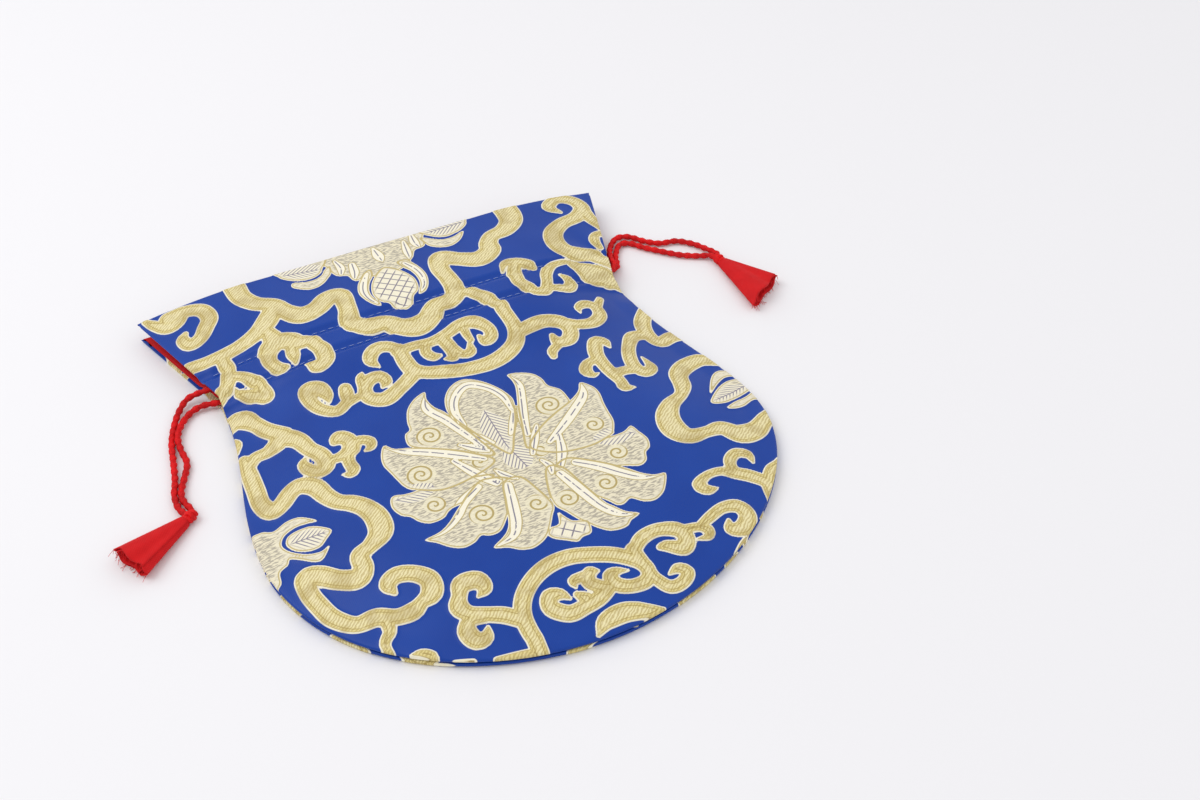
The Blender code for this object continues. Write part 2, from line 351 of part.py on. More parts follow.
def front_level(x, y):
    """Underside of the front cloth before the stitches pull it in."""
    rim = CLOTH + TURNED_EXTRA + LAYER_GAP
    rim = rim + SIDE_LIFT * smoothstep(NECK_Y - 8.0, NECK_Y + 1.0, y)
    rim = rim + CORNER_LIFT * smoothstep(NECK_Y, HEIGHT, y)
    linings = CLOTH + 2.0 * (LAYER_GAP + LINING)
    body = linings + BODY_ROOM
    neck = CLOTH + 2.0 * (CORD_ROOM + LINING) + NECK_ROOM
    mouth = linings + MOUTH_ROOM
    crown = body + (neck - body) * smoothstep(SWELL_START, SWELL_END, y)
    crown = crown + (mouth - neck) * smoothstep(CASING_Y + CASING_WIDTH, HEIGHT, y)
    climb = np.sin(0.5 * np.pi * np.clip(edge_distance(x, y) / ROLL, 0.0, 1.0))
    return rim + (crown - rim) * climb


def turned_edge(x, y):
    """Extra thickness where the cloth is turned in along the body's seam."""
    near = 1.0 - smoothstep(0.0, TURNED_WIDTH, edge_distance(x, y))
    return TURNED_EXTRA * near * (1.0 - smoothstep(NECK_Y - 16.0, NECK_Y - 8.0, y))


def casing_gap(y):
    """Gap between a lining and its outer cloth, open in the casing for the cords."""
    away = np.abs(np.asarray(y, float) - CASING_Y) - CHANNEL_HALF
    opening = 1.0 - np.clip(away / CASING_FADE, 0.0, 1.0)
    return LAYER_GAP + (CORD_ROOM - LAYER_GAP) * opening


def front_low(x, y):
    return front_level(x, y) - seam_dip(y)


def front_high(x, y):
    return front_low(x, y) + CLOTH + turned_edge(x, y)


def back_low(x, y):
    return seam_dip(y)


def back_high(x, y):
    return seam_dip(y) + CLOTH + turned_edge(x, y)


def front_lining_high(x, y):
    return front_level(x, y) - casing_gap(y)


def front_lining_low(x, y):
    return front_lining_high(x, y) - LINING


def back_lining_low(x, y):
    return CLOTH + casing_gap(y)


def back_lining_high(x, y):
    return back_lining_low(x, y) + LINING


def paint(name, colour, roughness):
    """A plain material of the given sRGB colour."""
    channels = [int(colour[i:i + 2], 16) / 255.0 for i in (0, 2, 4)]
    linear = [c / 12.92 if c <= 0.04045 else ((c + 0.055) / 1.055) ** 2.4 for c in channels]
    material = bpy.data.materials.new(name)
    material.use_nodes = True
    shader = material.node_tree.nodes["Principled BSDF"]
    shader.inputs["Base Color"].default_value = (*linear, 1.0)
    shader.inputs["Roughness"].default_value = roughness
    material.diffuse_color = (*linear, 1.0)
    return material


def make_body(name, points, faces, materials, slots=None):
    """A closed mesh object from points in millimetres."""
    mesh = bpy.data.meshes.new(name)
    placed = [(x * MM, (y - HEIGHT / 2) * MM, z * MM) for x, y, z in points]
    mesh.from_pydata(placed, [], [list(map(int, face)) for face in faces])
    for material in materials:
        mesh.materials.append(material)
    if slots is not None:
        mesh.polygons.foreach_set("material_index", slots)
    body = bmesh.new()
    body.from_mesh(mesh)
    bmesh.ops.recalc_face_normals(body, faces=body.faces)
    body.to_mesh(mesh)
    body.free()
    result = bpy.data.objects.new(name, mesh)
    bpy.context.scene.collection.objects.link(result)
    return result


def sheet_loop(inset, mouth_inset):
    """A sheet's outline, counterclockwise, moved in from the seam and from the mouth's edge."""
    heights = side_heights(OUTLINE_STEP)
    side = np.stack([half_width(heights), heights], 1)
    along = np.gradient(np.vstack([side[1] * (-1.0, 1.0), side]), axis=0)[1:]
    inward = np.stack([-along[:, 1], along[:, 0]], 1)
    inward /= np.linalg.norm(inward, axis=1, keepdims=True)
    if mouth_inset > 0.0:
        side = side + inward * np.asarray(inset(heights))[:, None]
        side[0, 0] = 0.0
        side[-1, 1] = HEIGHT - mouth_inset
    corner, top = side[-1]
    count = int(round(2.0 * corner / SHEET_STEP))
    mouth = [(x, top) for x in np.linspace(corner, -corner, count + 1)[1:-1]]
    left = [(-x, y) for x, y in side[:0:-1]]
    return [tuple(p) for p in side] + mouth + left


def lining_inset(y):
    """The lining stops short of the seams, and comes close to the edge only on the flaps."""
    low = CASING_Y + 0.8 * CASING_WIDTH
    return LINING_INSET + (LINING_FLAP_INSET - LINING_INSET) * smoothstep(low, low + 7.0, y)


def turned_ring():
    """Points along the inner side of the turned edge, so that only the edge itself is thicker."""
    heights = side_heights(OUTLINE_STEP)
    ring = sheet_loop(lambda y: TURNED_WIDTH + 0.0 * y, 0.01)
    right = [p for p, y in zip(ring, heights) if y < NECK_Y - 6.0]
    return right + [(-x, y) for x, y in right[1:]]


def outer_filling():
    """Points over an outer cloth, kept off the lines of the stitches' hollows."""
    inside = filling(SEAM_ROWS + SEAM_LINES, lambda y: TURNED_WIDTH + 0.0 * y, 0.0)
    middle = [(x, CASING_Y) for x in np.arange(-66.0, 67.0, SHEET_STEP)]
    return turned_ring() + inside + middle


def filling(rows, inset, mouth_inset):
    """Points spread evenly over a sheet, kept off the given lines across it."""
    spread = np.arange(SHEET_STEP, HEIGHT, 0.87 * SHEET_STEP)
    free = [y for y in spread if all(abs(y - row) > 0.3 * SHEET_STEP for row in rows)]
    top = HEIGHT - mouth_inset - 0.5 * SHEET_STEP
    points = []
    for number, y in enumerate(free):
        start = -8.0 * SHEET_STEP + 0.5 * SHEET_STEP * (number % 2)
        for x in np.arange(start, 100.0, SHEET_STEP):
            if y < top and abs(x) < half_width(y):
                if edge_distance(x, y) > float(inset(y)) + 0.5 * SHEET_STEP:
                    points.append((x, y))
    return points


def triangulate(loop, lines, points):
    """Fill the loop with triangles that keep the given lines; say which edges are on a line."""
    places, edges = list(loop), [(i, (i + 1) % len(loop)) for i in range(len(loop))]
    for line in lines:
        first = len(places)
        places += list(line)
        edges += [(first + i, first + i + 1) for i in range(len(line) - 1)]
        if len(line) > 2 and line[0] == line[-1]:
            places.pop()
            edges[-1] = (edges[-1][0], first)
    places += list(points)
    found = geometry.delaunay_2d_cdt([Vector(p) for p in places], edges, [], 1, 0.0001)
    flat = np.array([(v.x, v.y) for v in found[0]])
    origin = {frozenset(edge): from_edges for edge, from_edges in zip(found[1], found[4])}
    return flat, [tuple(face) for face in found[2]], origin


def add_heights(flat, height):
    """Give points of the plan their heights."""
    return np.column_stack([flat, height(flat[:, 0], flat[:, 1])])


def close_sheet(top, top_faces, low, low_faces):
    """Faces that make one closed body of two layers with the same outline."""
    count = len(top)
    below = {tuple(np.round(p[:2], 3)): count + i for i, p in enumerate(low)}
    faces = list(top_faces)
    faces += [tuple(count + i for i in reversed(face)) for face in low_faces]
    used = {(a, b) for face in top_faces for a, b in zip(face, face[1:] + face[:1])}
    for a, b in sorted(used):
        if (b, a) not in used:
            under_a = below[tuple(np.round(top[a][:2], 3))]
            under_b = below[tuple(np.round(top[b][:2], 3))]
            faces.append((b, a, under_a, under_b))
    return np.vstack([top, low]), faces


def guide_lines(rows, inset=None):
    """Lines across a cloth, at the given heights, that its triangles keep."""
    guides = []
    for y in rows:
        edge = float(half_width(y))
        if inset is not None:
            edge -= float(inset(y)) + 1.2
        count = int(round(2.0 * edge / SHEET_STEP))
        guides.append([(float(x), y) for x in np.linspace(-edge, edge, count + 1)])
    return guides


def plain_sheet(name, low_height, high_height, material, inset=None, mouth_inset=0.0):
    """A cloth with the same plan on both sides."""
    flush = inset is None
    keep_in = (lambda y: 0.0 * y) if flush else inset
    loop = sheet_loop(keep_in, mouth_inset)
    guides = guide_lines(SEAM_LINES) if flush else guide_lines(CASING_LINES, inset)
    points = outer_filling() if flush else filling(CASING_LINES, inset, mouth_inset)
    flat, faces, _ = triangulate(loop, guides, points)
    top, low = add_heights(flat, high_height), add_heights(flat, low_height)
    return make_body(name, *close_sheet(top, faces, low, faces), [material])


def smooth_route(points, step, closed=False):
    """Points at most a step apart on a smooth curve through the given ones."""
    points = np.array(points, float)
    count, out = len(points), []
    for i in range(count if closed else count - 1):
        b, c = points[i], points[(i + 1) % count]
        a = points[i - 1] if closed or i else 2.0 * b - c
        d = points[(i + 2) % count] if closed or i + 2 < count else 2.0 * c - b
        pieces = max(1, int(np.ceil(np.linalg.norm((c - b)[:2]) / step)))
        for t in np.arange(pieces) / pieces:
            bend = (2.0 * a - 5.0 * b + 4.0 * c - d) * t * t + (3.0 * b - a - 3.0 * c + d) * t ** 3
            out.append(0.5 * (2.0 * b + (c - a) * t + bend))
    if not closed:
        out.append(points[-1])
    return np.array(out)


def lay_figure(points):
    """Move the figure's points to where the swelling cloth carries them."""
    laid = np.array(points, float)
    laid[:, 0] += TRACE_SHIFT[0]
    laid[:, 1] += TRACE_SHIFT[1]
    rise = front_high(laid[:, 0], laid[:, 1]) - TRACED_HEIGHT
    laid[:, 0] -= rise * SEEN_SLANT[0]
    laid[:, 1] -= rise * SEEN_SLANT[1]
    return laid


RIBBON_ROUTES = [lay_figure(smooth_route(points, 1.5)) for points in RIBBONS.values()]
PETAL_EDGES = [lay_figure(smooth_route(points, 1.5, True)) for points in PETALS.values()]


def ribbon_depth(x, y):
    """How deep a point lies inside the gold ribbons, less than 0 outside them."""
    depth = np.full(np.shape(x), -1e9)
    for route in RIBBON_ROUTES:
        for (ax, ay, aw), (bx, by, bw) in zip(route, route[1:]):
            dx, dy = bx - ax, by - ay
            t = np.clip(((x - ax) * dx + (y - ay) * dy) / (dx * dx + dy * dy), 0.0, 1.0)
            away = np.hypot(x - ax - t * dx, y - ay - t * dy)
            depth = np.maximum(depth, 0.5 * (aw + t * (bw - aw)) - away)
    return depth


def petal_depth(x, y):
    """How deep a point lies inside the pale petals, less than 0 outside them."""
    depth = np.full(np.shape(x), -1e9)
    for edge in PETAL_EDGES:
        inside = np.zeros(np.shape(x), bool)
        ring = np.vstack([edge, edge[:1]])
        for (ax, ay), (bx, by) in zip(ring, ring[1:]):
            if ay != by:
                crosses = (ay > y) != (by > y)
                inside ^= crosses & (x < ax + (y - ay) * (bx - ax) / (by - ay))
        away = line_distance(x, y, ring)
        depth = np.maximum(depth, np.where(inside, away, -away))
    return depth


def figure_depth(x, y):
    """How deep a point lies inside the woven figure, kept clear of the cloth's edges."""
    inner = np.minimum(edge_distance(x, y), HEIGHT - y) - FIGURE_MARGIN
    inner = np.where(np.abs(x) < half_width(y), inner, -1.0)
    return np.minimum(np.maximum(ribbon_depth(x, y), petal_depth(x, y)), inner)


def crossing_points(depth, xs, ys):
    """Points where the figure's edge crosses the grid, kept a little off the grid's corners."""
    found = {}
    for i in range(len(xs)):
        for j in range(len(ys)):
            for di, dj in ((1, 0), (0, 1)):
                if i + di < len(xs) and j + dj < len(ys):
                    here, there = depth[i, j], depth[i + di, j + dj]
                    if (here > 0) != (there > 0):
                        t = min(max(here / (here - there), 0.2), 0.8)
                        found[i, j, di] = (xs[i] + t * di * FIGURE_STEP, ys[j] + t * dj * FIGURE_STEP)
    return found


def cell_lines(depth, i, j):
    """The pieces of the figure's edge within one cell of the grid."""
    edges = [(i, j, 1), (i + 1, j, 0), (i, j + 1, 1), (i, j, 0)]
    corners = [depth[i, j], depth[i + 1, j], depth[i + 1, j + 1], depth[i, j + 1]]
    cut = [edges[k] for k in range(4) if (corners[k] > 0) != (corners[(k + 1) % 4] > 0)]
    if len(cut) == 2:
        return [tuple(cut)]
    if len(cut) == 4:
        if (corners[0] > 0) == (sum(corners) > 0):
            return [(edges[0], edges[1]), (edges[2], edges[3])]
        return [(edges[3], edges[0]), (edges[1], edges[2])]
    return []


def thin_line(points, bend):
    """Leave out points that lie nearly on the straight line between the ones kept."""
    if len(points) < 3:
        return points
    start, end = np.array(points[0]), np.array(points[-1])
    run = end - start
    length = max(np.linalg.norm(run), 1e-9)
    offsets = [abs(run[0] * (p[1] - start[1]) - run[1] * (p[0] - start[0])) / length for p in points]
    far = int(np.argmax(offsets))
    if offsets[far] < bend:
        return [points[0], points[-1]]
    return thin_line(points[:far + 1], bend)[:-1] + thin_line(points[far:], bend)


def figure_loops():
    """Closed lines round the woven figure, found on a grid and thinned out."""
    xs = np.arange(-94.0, 95.0, FIGURE_STEP)
    ys = np.arange(0.0, HEIGHT + 1.0, FIGURE_STEP)
    gx, gy = np.meshgrid(xs, ys, indexing="ij")
    depth = figure_depth(gx, gy)
    places = crossing_points(depth, xs, ys)
    beside = {key: [] for key in places}
    for i in range(len(xs) - 1):
        for j in range(len(ys) - 1):
            for a, b in cell_lines(depth, i, j):
                beside[a].append(b)
                beside[b].append(a)
    loops, seen = [], set()
    for start in places:
        if start in seen:
            continue
        chain, last, here = [], None, start
        while here not in seen:
            seen.add(here)
            chain.append(places[here])
            last, here = here, next((k for k in beside[here] if k not in seen), start)
        if len(chain) > 4:
            half = len(chain) // 2
            loop = thin_line(chain[:half + 1], FIGURE_BEND)[:-1]
            loop += thin_line(chain[half:] + chain[:1], FIGURE_BEND)
            if len(loop) > 4:
                loops.append(loop)
    return loops


def faces_beside(faces):
    """The faces on each edge."""
    beside = {}
    for number, face in enumerate(faces):
        for a, b in zip(face, face[1:] + face[:1]):
            beside.setdefault(frozenset((a, b)), []).append(number)
    return beside


def woven_faces(flat, faces, walls):
    """Which faces belong to the figure, told for each whole region that its lines cut out."""
    corners = flat[np.array(faces)]
    middles = corners.mean(axis=1)
    side_a, side_b = corners[:, 1] - corners[:, 0], corners[:, 2] - corners[:, 0]
    area = np.abs(side_a[:, 0] * side_b[:, 1] - side_a[:, 1] * side_b[:, 0])
    vote = area * np.sign(figure_depth(middles[:, 0], middles[:, 1]))
    beside = faces_beside(faces)
    woven = np.zeros(len(faces), bool)
    seen = np.zeros(len(faces), bool)
    for start in range(len(faces)):
        if seen[start]:
            continue
        region, waiting = [], [start]
        seen[start] = True
        while waiting:
            number = waiting.pop()
            region.append(number)
            face = faces[number]
            for a, b in zip(face, face[1:] + face[:1]):
                edge = frozenset((a, b))
                if edge not in walls:
                    for other in beside[edge]:
                        if not seen[other]:
                            seen[other] = True
                            waiting.append(other)
        woven[region] = vote[region].sum() > 0
    pale = petal_depth(middles[:, 0], middles[:, 1]) > ribbon_depth(middles[:, 0], middles[:, 1])
    return woven, pale


def raise_figure(top, faces, woven, pale):
    """Lift the woven faces off the ground cloth and put a small step round them."""
    raised = {}
    points = [tuple(p) for p in top]
    for number in np.flatnonzero(woven):
        for corner in faces[number]:
            if corner not in raised:
                raised[corner] = len(points)
                x, y, z = top[corner]
                points.append((x, y, z + FIGURE_RELIEF))
    out, slots = [], []
    for number, face in enumerate(faces):
        out.append(tuple(raised[c] for c in face) if woven[number] else face)
        slots.append(int(woven[number]) + int(woven[number] and pale[number]))
    for edge, numbers in faces_beside(faces).items():
        if len(numbers) == 2 and woven[numbers[0]] != woven[numbers[1]]:
            number = numbers[0] if woven[numbers[0]] else numbers[1]
            face = faces[number]
            a, b = next(pair for pair in zip(face, face[1:] + face[:1]) if frozenset(pair) == edge)
            out.append((raised[b], raised[a], a, b))
            slots.append(slots[number])
    return np.array(points), out, slots


def front_cloth():
    """The front brocade with its figure standing a little above the blue ground."""
    flush = lambda y: 0.0 * y
    loop, guides, loops = sheet_loop(flush, 0.0), guide_lines(SEAM_LINES), figure_loops()
    spread = outer_filling()
    xs, ys = np.array(spread).T
    depth = figure_depth(xs, ys)
    inner = [p for p, d in zip(spread, depth) if abs(d) > 2.0]
    flat, faces, origin = triangulate(loop, guides + loops, inner)
    figure_start = len(loop) + sum(len(guide) - 1 for guide in guides)
    walls = {edge for edge, lines in origin.items() if any(n >= figure_start for n in lines)}
    woven, pale = woven_faces(flat, faces, walls)
    top, top_faces, slots = raise_figure(add_heights(flat, front_high), faces, woven, pale)
    low_flat, low_faces, _ = triangulate(loop, guides, spread)
    points, all_faces = close_sheet(top, top_faces, add_heights(low_flat, front_low), low_faces)
    slots += [0] * (len(all_faces) - len(slots))
    materials = [paint("blue brocade ground", "1f4ba5", 0.45),
                 paint("gold woven figure", "d9cc92", 0.45),
                 paint("pale gold woven figure", "e3dfc4", 0.45)]
    return make_body("brocade_front", points, all_faces, materials, slots)


def stitch_row(name, row, bottom, material):
    """A row of stitches as a thin flat thread across the cloth."""
    reach = float(half_width(row)) - SEAM_END_INSET
    xs = np.linspace(-reach, reach, 1 + int(round(2.0 * reach / THREAD_STEP)))
    level = bottom(xs, np.full(len(xs), row))
    points, faces = [], []
    for x, z in zip(xs, level):
        low, high = row - THREAD_WIDTH / 2, row + THREAD_WIDTH / 2
        points += [(x, low, z), (x, high, z), (x, high, z + THREAD), (x, low, z + THREAD)]
    for i in range(len(xs) - 1):
        for k in range(4):
            a, b = 4 * i + k, 4 * i + (k + 1) % 4
            faces.append((a, b, b + 4, a + 4))
    last = len(points)
    faces += [(3, 2, 1, 0), (last - 4, last - 3, last - 2, last - 1)]
    return make_body(name, points, faces, [material])


def front_thread(x, y):
    return front_high(x, y) + FIGURE_RELIEF + LAYER_GAP


def back_thread(x, y):
    return back_low(x, y) - LAYER_GAP - THREAD


def channel(row, front, start, end):
    """The cord's way through one casing, from side to side."""
    xs = np.linspace(start, end, 1 + int(round(abs(end - start) / CHANNEL_STEP)))
    depth = CORD_CLEARANCE + CORD / 2
    if front:
        level = front_level(xs, np.full(len(xs), row)) - depth
    else:
        level = np.full(len(xs), CLOTH + depth)
    return [(x, row, z) for x, z in zip(xs, level)]


def cord_turn(side, front_row, back_row):
    """The far bend of a cord, from the front casing down into the back one."""
    edge = float(half_width(CASING_Y))
    high = channel(front_row, True, side * (edge - 7.0), side * (edge - 6.9))[0][2]
    low = CLOTH + CORD_CLEARANCE + CORD / 2
    bend = []
    for part, out in ((0.0, 6.2), (0.22, 4.4), (0.5, 3.6), (0.78, 4.4), (1.0, 6.2)):
        y = front_row + part * (back_row - front_row)
        bend.append((side * (edge - out), y, high + part * (low - high)))
    return bend


def drawcord(name, side, rows, upper, lower, material):
    """One cord: knot, front casing, far bend, back casing and back to the knot."""
    front_row, back_row = rows
    ends = [float(half_width(row)) for row in rows]
    far = float(half_width(CASING_Y)) - 9.0
    front = channel(front_row, True, side * (ends[0] - 1.5), -side * far)
    back = channel(back_row, False, -side * far, side * (ends[1] - 1.5))
    route = list(smooth_route(upper[::-1] + front[:1], CORD_STEP)[:-1])
    route += front + cord_turn(-side, front_row, back_row) + back[:-1]
    route += list(smooth_route(back[-1:] + lower, CORD_STEP))
    curve = bpy.data.curves.new(name, "CURVE")
    curve.dimensions = "3D"
    curve.bevel_depth = CORD / 2 * MM
    curve.bevel_resolution = 2
    curve.use_fill_caps = True
    spline = curve.splines.new("POLY")
    spline.points.add(len(route) - 1)
    for point, (x, y, z) in zip(spline.points, route):
        point.co = (x * MM, (y - HEIGHT / 2) * MM, z * MM, 1.0)
    curve.materials.append(material)
    cord = bpy.data.objects.new(name, curve)
    bpy.context.scene.collection.objects.link(cord)
    return cord


def ring_body(name, rings, material):
    """A closed body through rings of points, capped at both ends."""
    size = len(rings[0])
    points = [p for ring in rings for p in ring]
    faces = []
    for i in range(len(rings) - 1):
        for k in range(size):
            a, b = i * size + k, i * size + (k + 1) % size
            faces.append((a, b, b + size, a + size))
    faces += [tuple(range(size))[::-1], tuple(range(len(points) - size, len(points)))]
    return make_body(name, points, faces, [material])


def knot(name, middle, heading, material):
    """The two ends of a cord wound and pulled tight into one small knot."""
    forward = Vector(heading).normalized()
    across = Vector((-forward.y, forward.x))
    rings = []
    for part, girth in ((-1.0, 0.42), (-0.72, 0.86), (-0.4, 1.0), (-0.05, 0.84), (0.25, 1.0),
                        (0.6, 0.92), (0.86, 0.66), (1.0, 0.36)):
        spot = Vector(middle) + forward * (part * KNOT_LENGTH / 2)
        ring = []
        for turn in np.arange(12) * np.pi / 6:
            flat = spot + across * (0.5 * KNOT_WIDTH * girth * np.cos(turn))
            ring.append((flat.x, flat.y, 0.5 * KNOT_HEIGHT * (1.0 + girth * np.sin(turn))))
        rings.append(ring)
    return ring_body(name, rings, material)


def tassel(name, tip, corner_a, corner_b, height, material):
    """A hollow cone of folded cloth that lies flat, closed at the tip and open at its wide end."""
    tip, corner_a, corner_b = Vector(tip), Vector(corner_a), Vector(corner_b)
    end, spread = (corner_a + corner_b) / 2, (corner_b - corner_a) / 2
    forward = (end - tip).normalized()
    across = Vector((-forward.y, forward.x))
    if across.dot(spread) < 0.0:
        spread = -spread
    rings = []
    for part, wall in [(p, 0.0) for p in (0.0, 0.15, 0.35, 0.6, 0.8, 1.0)] + \
                      [(p, TASSEL_WALL) for p in (1.0, 0.8, 0.6, 0.4)]:
        spot = tip + (end - tip) * part
        reach = across * (TASSEL_TIP_WIDTH / 2 * (1.0 - part)) + spread * part
        reach *= 1.0 - wall / reach.length
        tall = TASSEL_TIP_HEIGHT + (height - TASSEL_TIP_HEIGHT) * part
        ring = []
        for turn in np.arange(16) * np.pi / 8:
            flat = spot + reach * float(np.cos(turn))
            rise = np.sin(turn) * (0.5 * tall - wall)
            fold = 0.3 * tall * part * np.exp(-((np.cos(turn) - 0.38) / 0.3) ** 2)
            ring.append((flat.x, flat.y, 0.5 * tall + rise - (fold if rise > 0.0 else 0.0)))
        rings.append(ring)
    return ring_body(name, rings, material)


def tassel_tip(middle, corner_a, corner_b):
    """Where a tassel begins, just past its knot."""
    end = (Vector(corner_a) + Vector(corner_b)) / 2
    heading = (end - Vector(middle)).normalized()
    return tuple(Vector(middle) + heading * (KNOT_LENGTH / 2 + LAYER_GAP)), tuple(heading)


def build():
    """Make the pouch's pieces, the cloths first."""
    for old in list(bpy.data.objects):
        bpy.data.objects.remove(old, do_unlink=True)
    front_cloth()
    plain_sheet("brocade_back", back_low, back_high, paint("blue brocade back", "1f4ba5", 0.45))
    plain_sheet("lining_front", front_lining_low, front_lining_high,
                paint("red front lining", "c81519", 0.8), lining_inset, LINING_MOUTH_INSET)
    plain_sheet("lining_back", back_lining_low, back_lining_high,
                paint("red back lining", "c81519", 0.8), lining_inset, LINING_MOUTH_INSET)
    for label, row in zip(("lower", "upper"), SEAM_ROWS):
        stitch_row("casing_seam_front_" + label, row, front_thread,
                   paint("front " + label + " thread", "c9cfd8", 0.6))
        stitch_row("casing_seam_back_" + label, row, back_thread,
                   paint("back " + label + " thread", "c9cfd8", 0.6))
    near, far = CASING_Y + CORD_SPACING / 2, CASING_Y - CORD_SPACING / 2
    drawcord("drawcord_left", -1.0, (near, far), LEFT_UPPER, LEFT_LOWER,
             paint("left red cord", "c8161a", 0.75))
    drawcord("drawcord_right", 1.0, (far, near), RIGHT_UPPER, RIGHT_LOWER,
             paint("right red cord", "c8161a", 0.75))
    for label, middle, corners, height in (
            ("left", LEFT_KNOT, LEFT_TASSEL_END, LEFT_TASSEL_HEIGHT),
            ("right", RIGHT_KNOT, RIGHT_TASSEL_END, RIGHT_TASSEL_HEIGHT)):
        tip, heading = tassel_tip(middle, *corners)
        knot("knot_" + label, middle, heading, paint(label + " red knot", "c8161a", 0.75))
        tassel("tassel_" + label, tip, *corners, height, paint(label + " red tassel", "cf1f22", 0.8))


build()
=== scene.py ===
"""Looks of a brocade drawstring pouch that lies flat with its mouth ajar."""
import math

import bmesh
import bpy
import numpy as np
from mathutils import Matrix, Vector


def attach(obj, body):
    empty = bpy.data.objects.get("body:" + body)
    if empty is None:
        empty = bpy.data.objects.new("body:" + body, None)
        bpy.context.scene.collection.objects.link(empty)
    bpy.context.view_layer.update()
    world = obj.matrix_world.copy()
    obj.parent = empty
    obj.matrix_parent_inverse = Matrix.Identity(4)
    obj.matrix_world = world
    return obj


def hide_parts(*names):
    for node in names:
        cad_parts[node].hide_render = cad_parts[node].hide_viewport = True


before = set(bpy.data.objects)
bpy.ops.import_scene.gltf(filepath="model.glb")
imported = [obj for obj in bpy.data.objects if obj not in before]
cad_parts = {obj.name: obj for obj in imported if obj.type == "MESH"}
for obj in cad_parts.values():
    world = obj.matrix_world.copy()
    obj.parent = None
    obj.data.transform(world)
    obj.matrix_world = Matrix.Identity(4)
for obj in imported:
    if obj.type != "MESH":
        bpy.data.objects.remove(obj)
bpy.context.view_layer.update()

# Camera. It looks down on the pouch from its lower left, where the photograph was taken, with a
# 45 mm lens on a 36 mm wide picture.
MM = 0.001
CAMERA_SPOT = (-131.27, -341.45, 347.15)
CAMERA_DOWN = 42.37
CAMERA_TURN = 27.12
lens = bpy.data.cameras.new("camera")
lens.lens = 45.0
lens.sensor_width = 36.0
camera = bpy.data.objects.new("camera", lens)
camera.location = Vector(CAMERA_SPOT) * MM
camera.rotation_euler = (math.radians(90.0 - CAMERA_DOWN), 0.0, math.radians(-CAMERA_TURN))
bpy.context.scene.collection.objects.link(camera)
bpy.context.scene.camera = camera

# Drawcords. Each is one soft red cord of two plies, from its knot through the front casing, round
# the far side and back through the rear casing to the same knot. The casing's shape comes first,
# because the cords follow it. Lengths are in millimetres, y is 0 at the round bottom.
HEIGHT = 200.0
NECK_Y = 151.0
WIDEST_Y = 72.0
OVAL_HEIGHT = 69.5
OVAL_POWER = 1.93
HALF_WIDEST = 86.5
HALF_NECK = 74.9
HALF_MOUTH = 90.0
SHOULDER_POWER = 1.2
CLOTH = 0.8
LINING = 0.4
LAYER_GAP = 0.3
TURNED_EXTRA = 0.7
TURNED_WIDTH = 8.0
CORD = 2.2
CORD_CLEARANCE = 0.4
CORD_SPACING = 5.0
CASING_Y = 155.5
CASING_WIDTH = 12.0
CASING_FADE = 6.0
SEAM_DIP = 1.0
DIP_FLAT = 0.6
DIP_HALF = 2.4
BODY_ROOM = 7.0
NECK_ROOM = 4.6
MOUTH_ROOM = 9.2
SIDE_LIFT = 4.6
CORNER_LIFT = 0.8
ROLL = 45.0
SIDE_LIFT_RUN = (-8.0, 1.0)
TURNED_RUN_OUT = (-16.0, -8.0)
SWELL_START = 118.0
SWELL_END = 148.0
CORD_ROOM = CORD + 2.0 * CORD_CLEARANCE
SEAM_ROWS = (CASING_Y - CASING_WIDTH / 2, CASING_Y + CASING_WIDTH / 2)
CHANNEL_HALF = (CORD_SPACING + CORD) / 2 + CORD_CLEARANCE
PUCKER_HEIGHT = 0.55
PUCKER_REACH = 15.0
PUCKER_FOLDS = 9.0
PUCKER_CENTRE = 4.0
WAVE_HEIGHT = 0.22
WAVE_ACROSS = (15.0, 31.0)
WAVE_ALONG = (17.0, 41.0)
WAVE_SHIFT = 0.8
SLACK_EDGE = 9.0
OUTLINE_STEP = 2.5
FAR_OUTLINE = 60.0
CORD_LAY = 6.4
CORD_POINT_STEP = 0.8
CHANNEL_STEP = 7.5
CHANNEL_MOUTH = 1.5
CHANNEL_FAR_END = 9.0
FAR_BEND_TOP = 7.0
FAR_BEND = ((0.0, 6.2), (0.22, 4.4), (0.5, 3.6), (0.78, 4.4), (1.0, 6.2))
PLY_POINTS = 16
PLY_WAIST, PLY_SWELL = 0.95, 0.16


def smoothstep(start, end, value):
    """Ease from 0 at start to 1 at end."""
    t = np.clip((np.asarray(value, float) - start) / (end - start), 0.0, 1.0)
    return t * t * (3.0 - 2.0 * t)


def half_width(y):
    """Half of the pouch's width: an oval bottom, shoulders that draw in to the neck, a flare."""
    y = np.asarray(y, float)
    drop = np.clip((WIDEST_Y - y) / OVAL_HEIGHT, 0.0, 1.0)
    oval = HALF_WIDEST * (1.0 - drop ** OVAL_POWER) ** (1.0 / OVAL_POWER)
    along = np.clip((y - WIDEST_Y) / (NECK_Y - WIDEST_Y), 0.0, 1.0)
    swing = np.clip(0.5 + 0.5 * np.cos(np.pi * along), 0.0, 1.0) ** SHOULDER_POWER
    shoulder = HALF_NECK + (HALF_WIDEST - HALF_NECK) * swing
    flare = HALF_NECK + (HALF_MOUTH - HALF_NECK) * (y - NECK_Y) / (HEIGHT - NECK_Y)
    return np.where(y < WIDEST_Y, oval, np.where(y < NECK_Y, shoulder, flare))


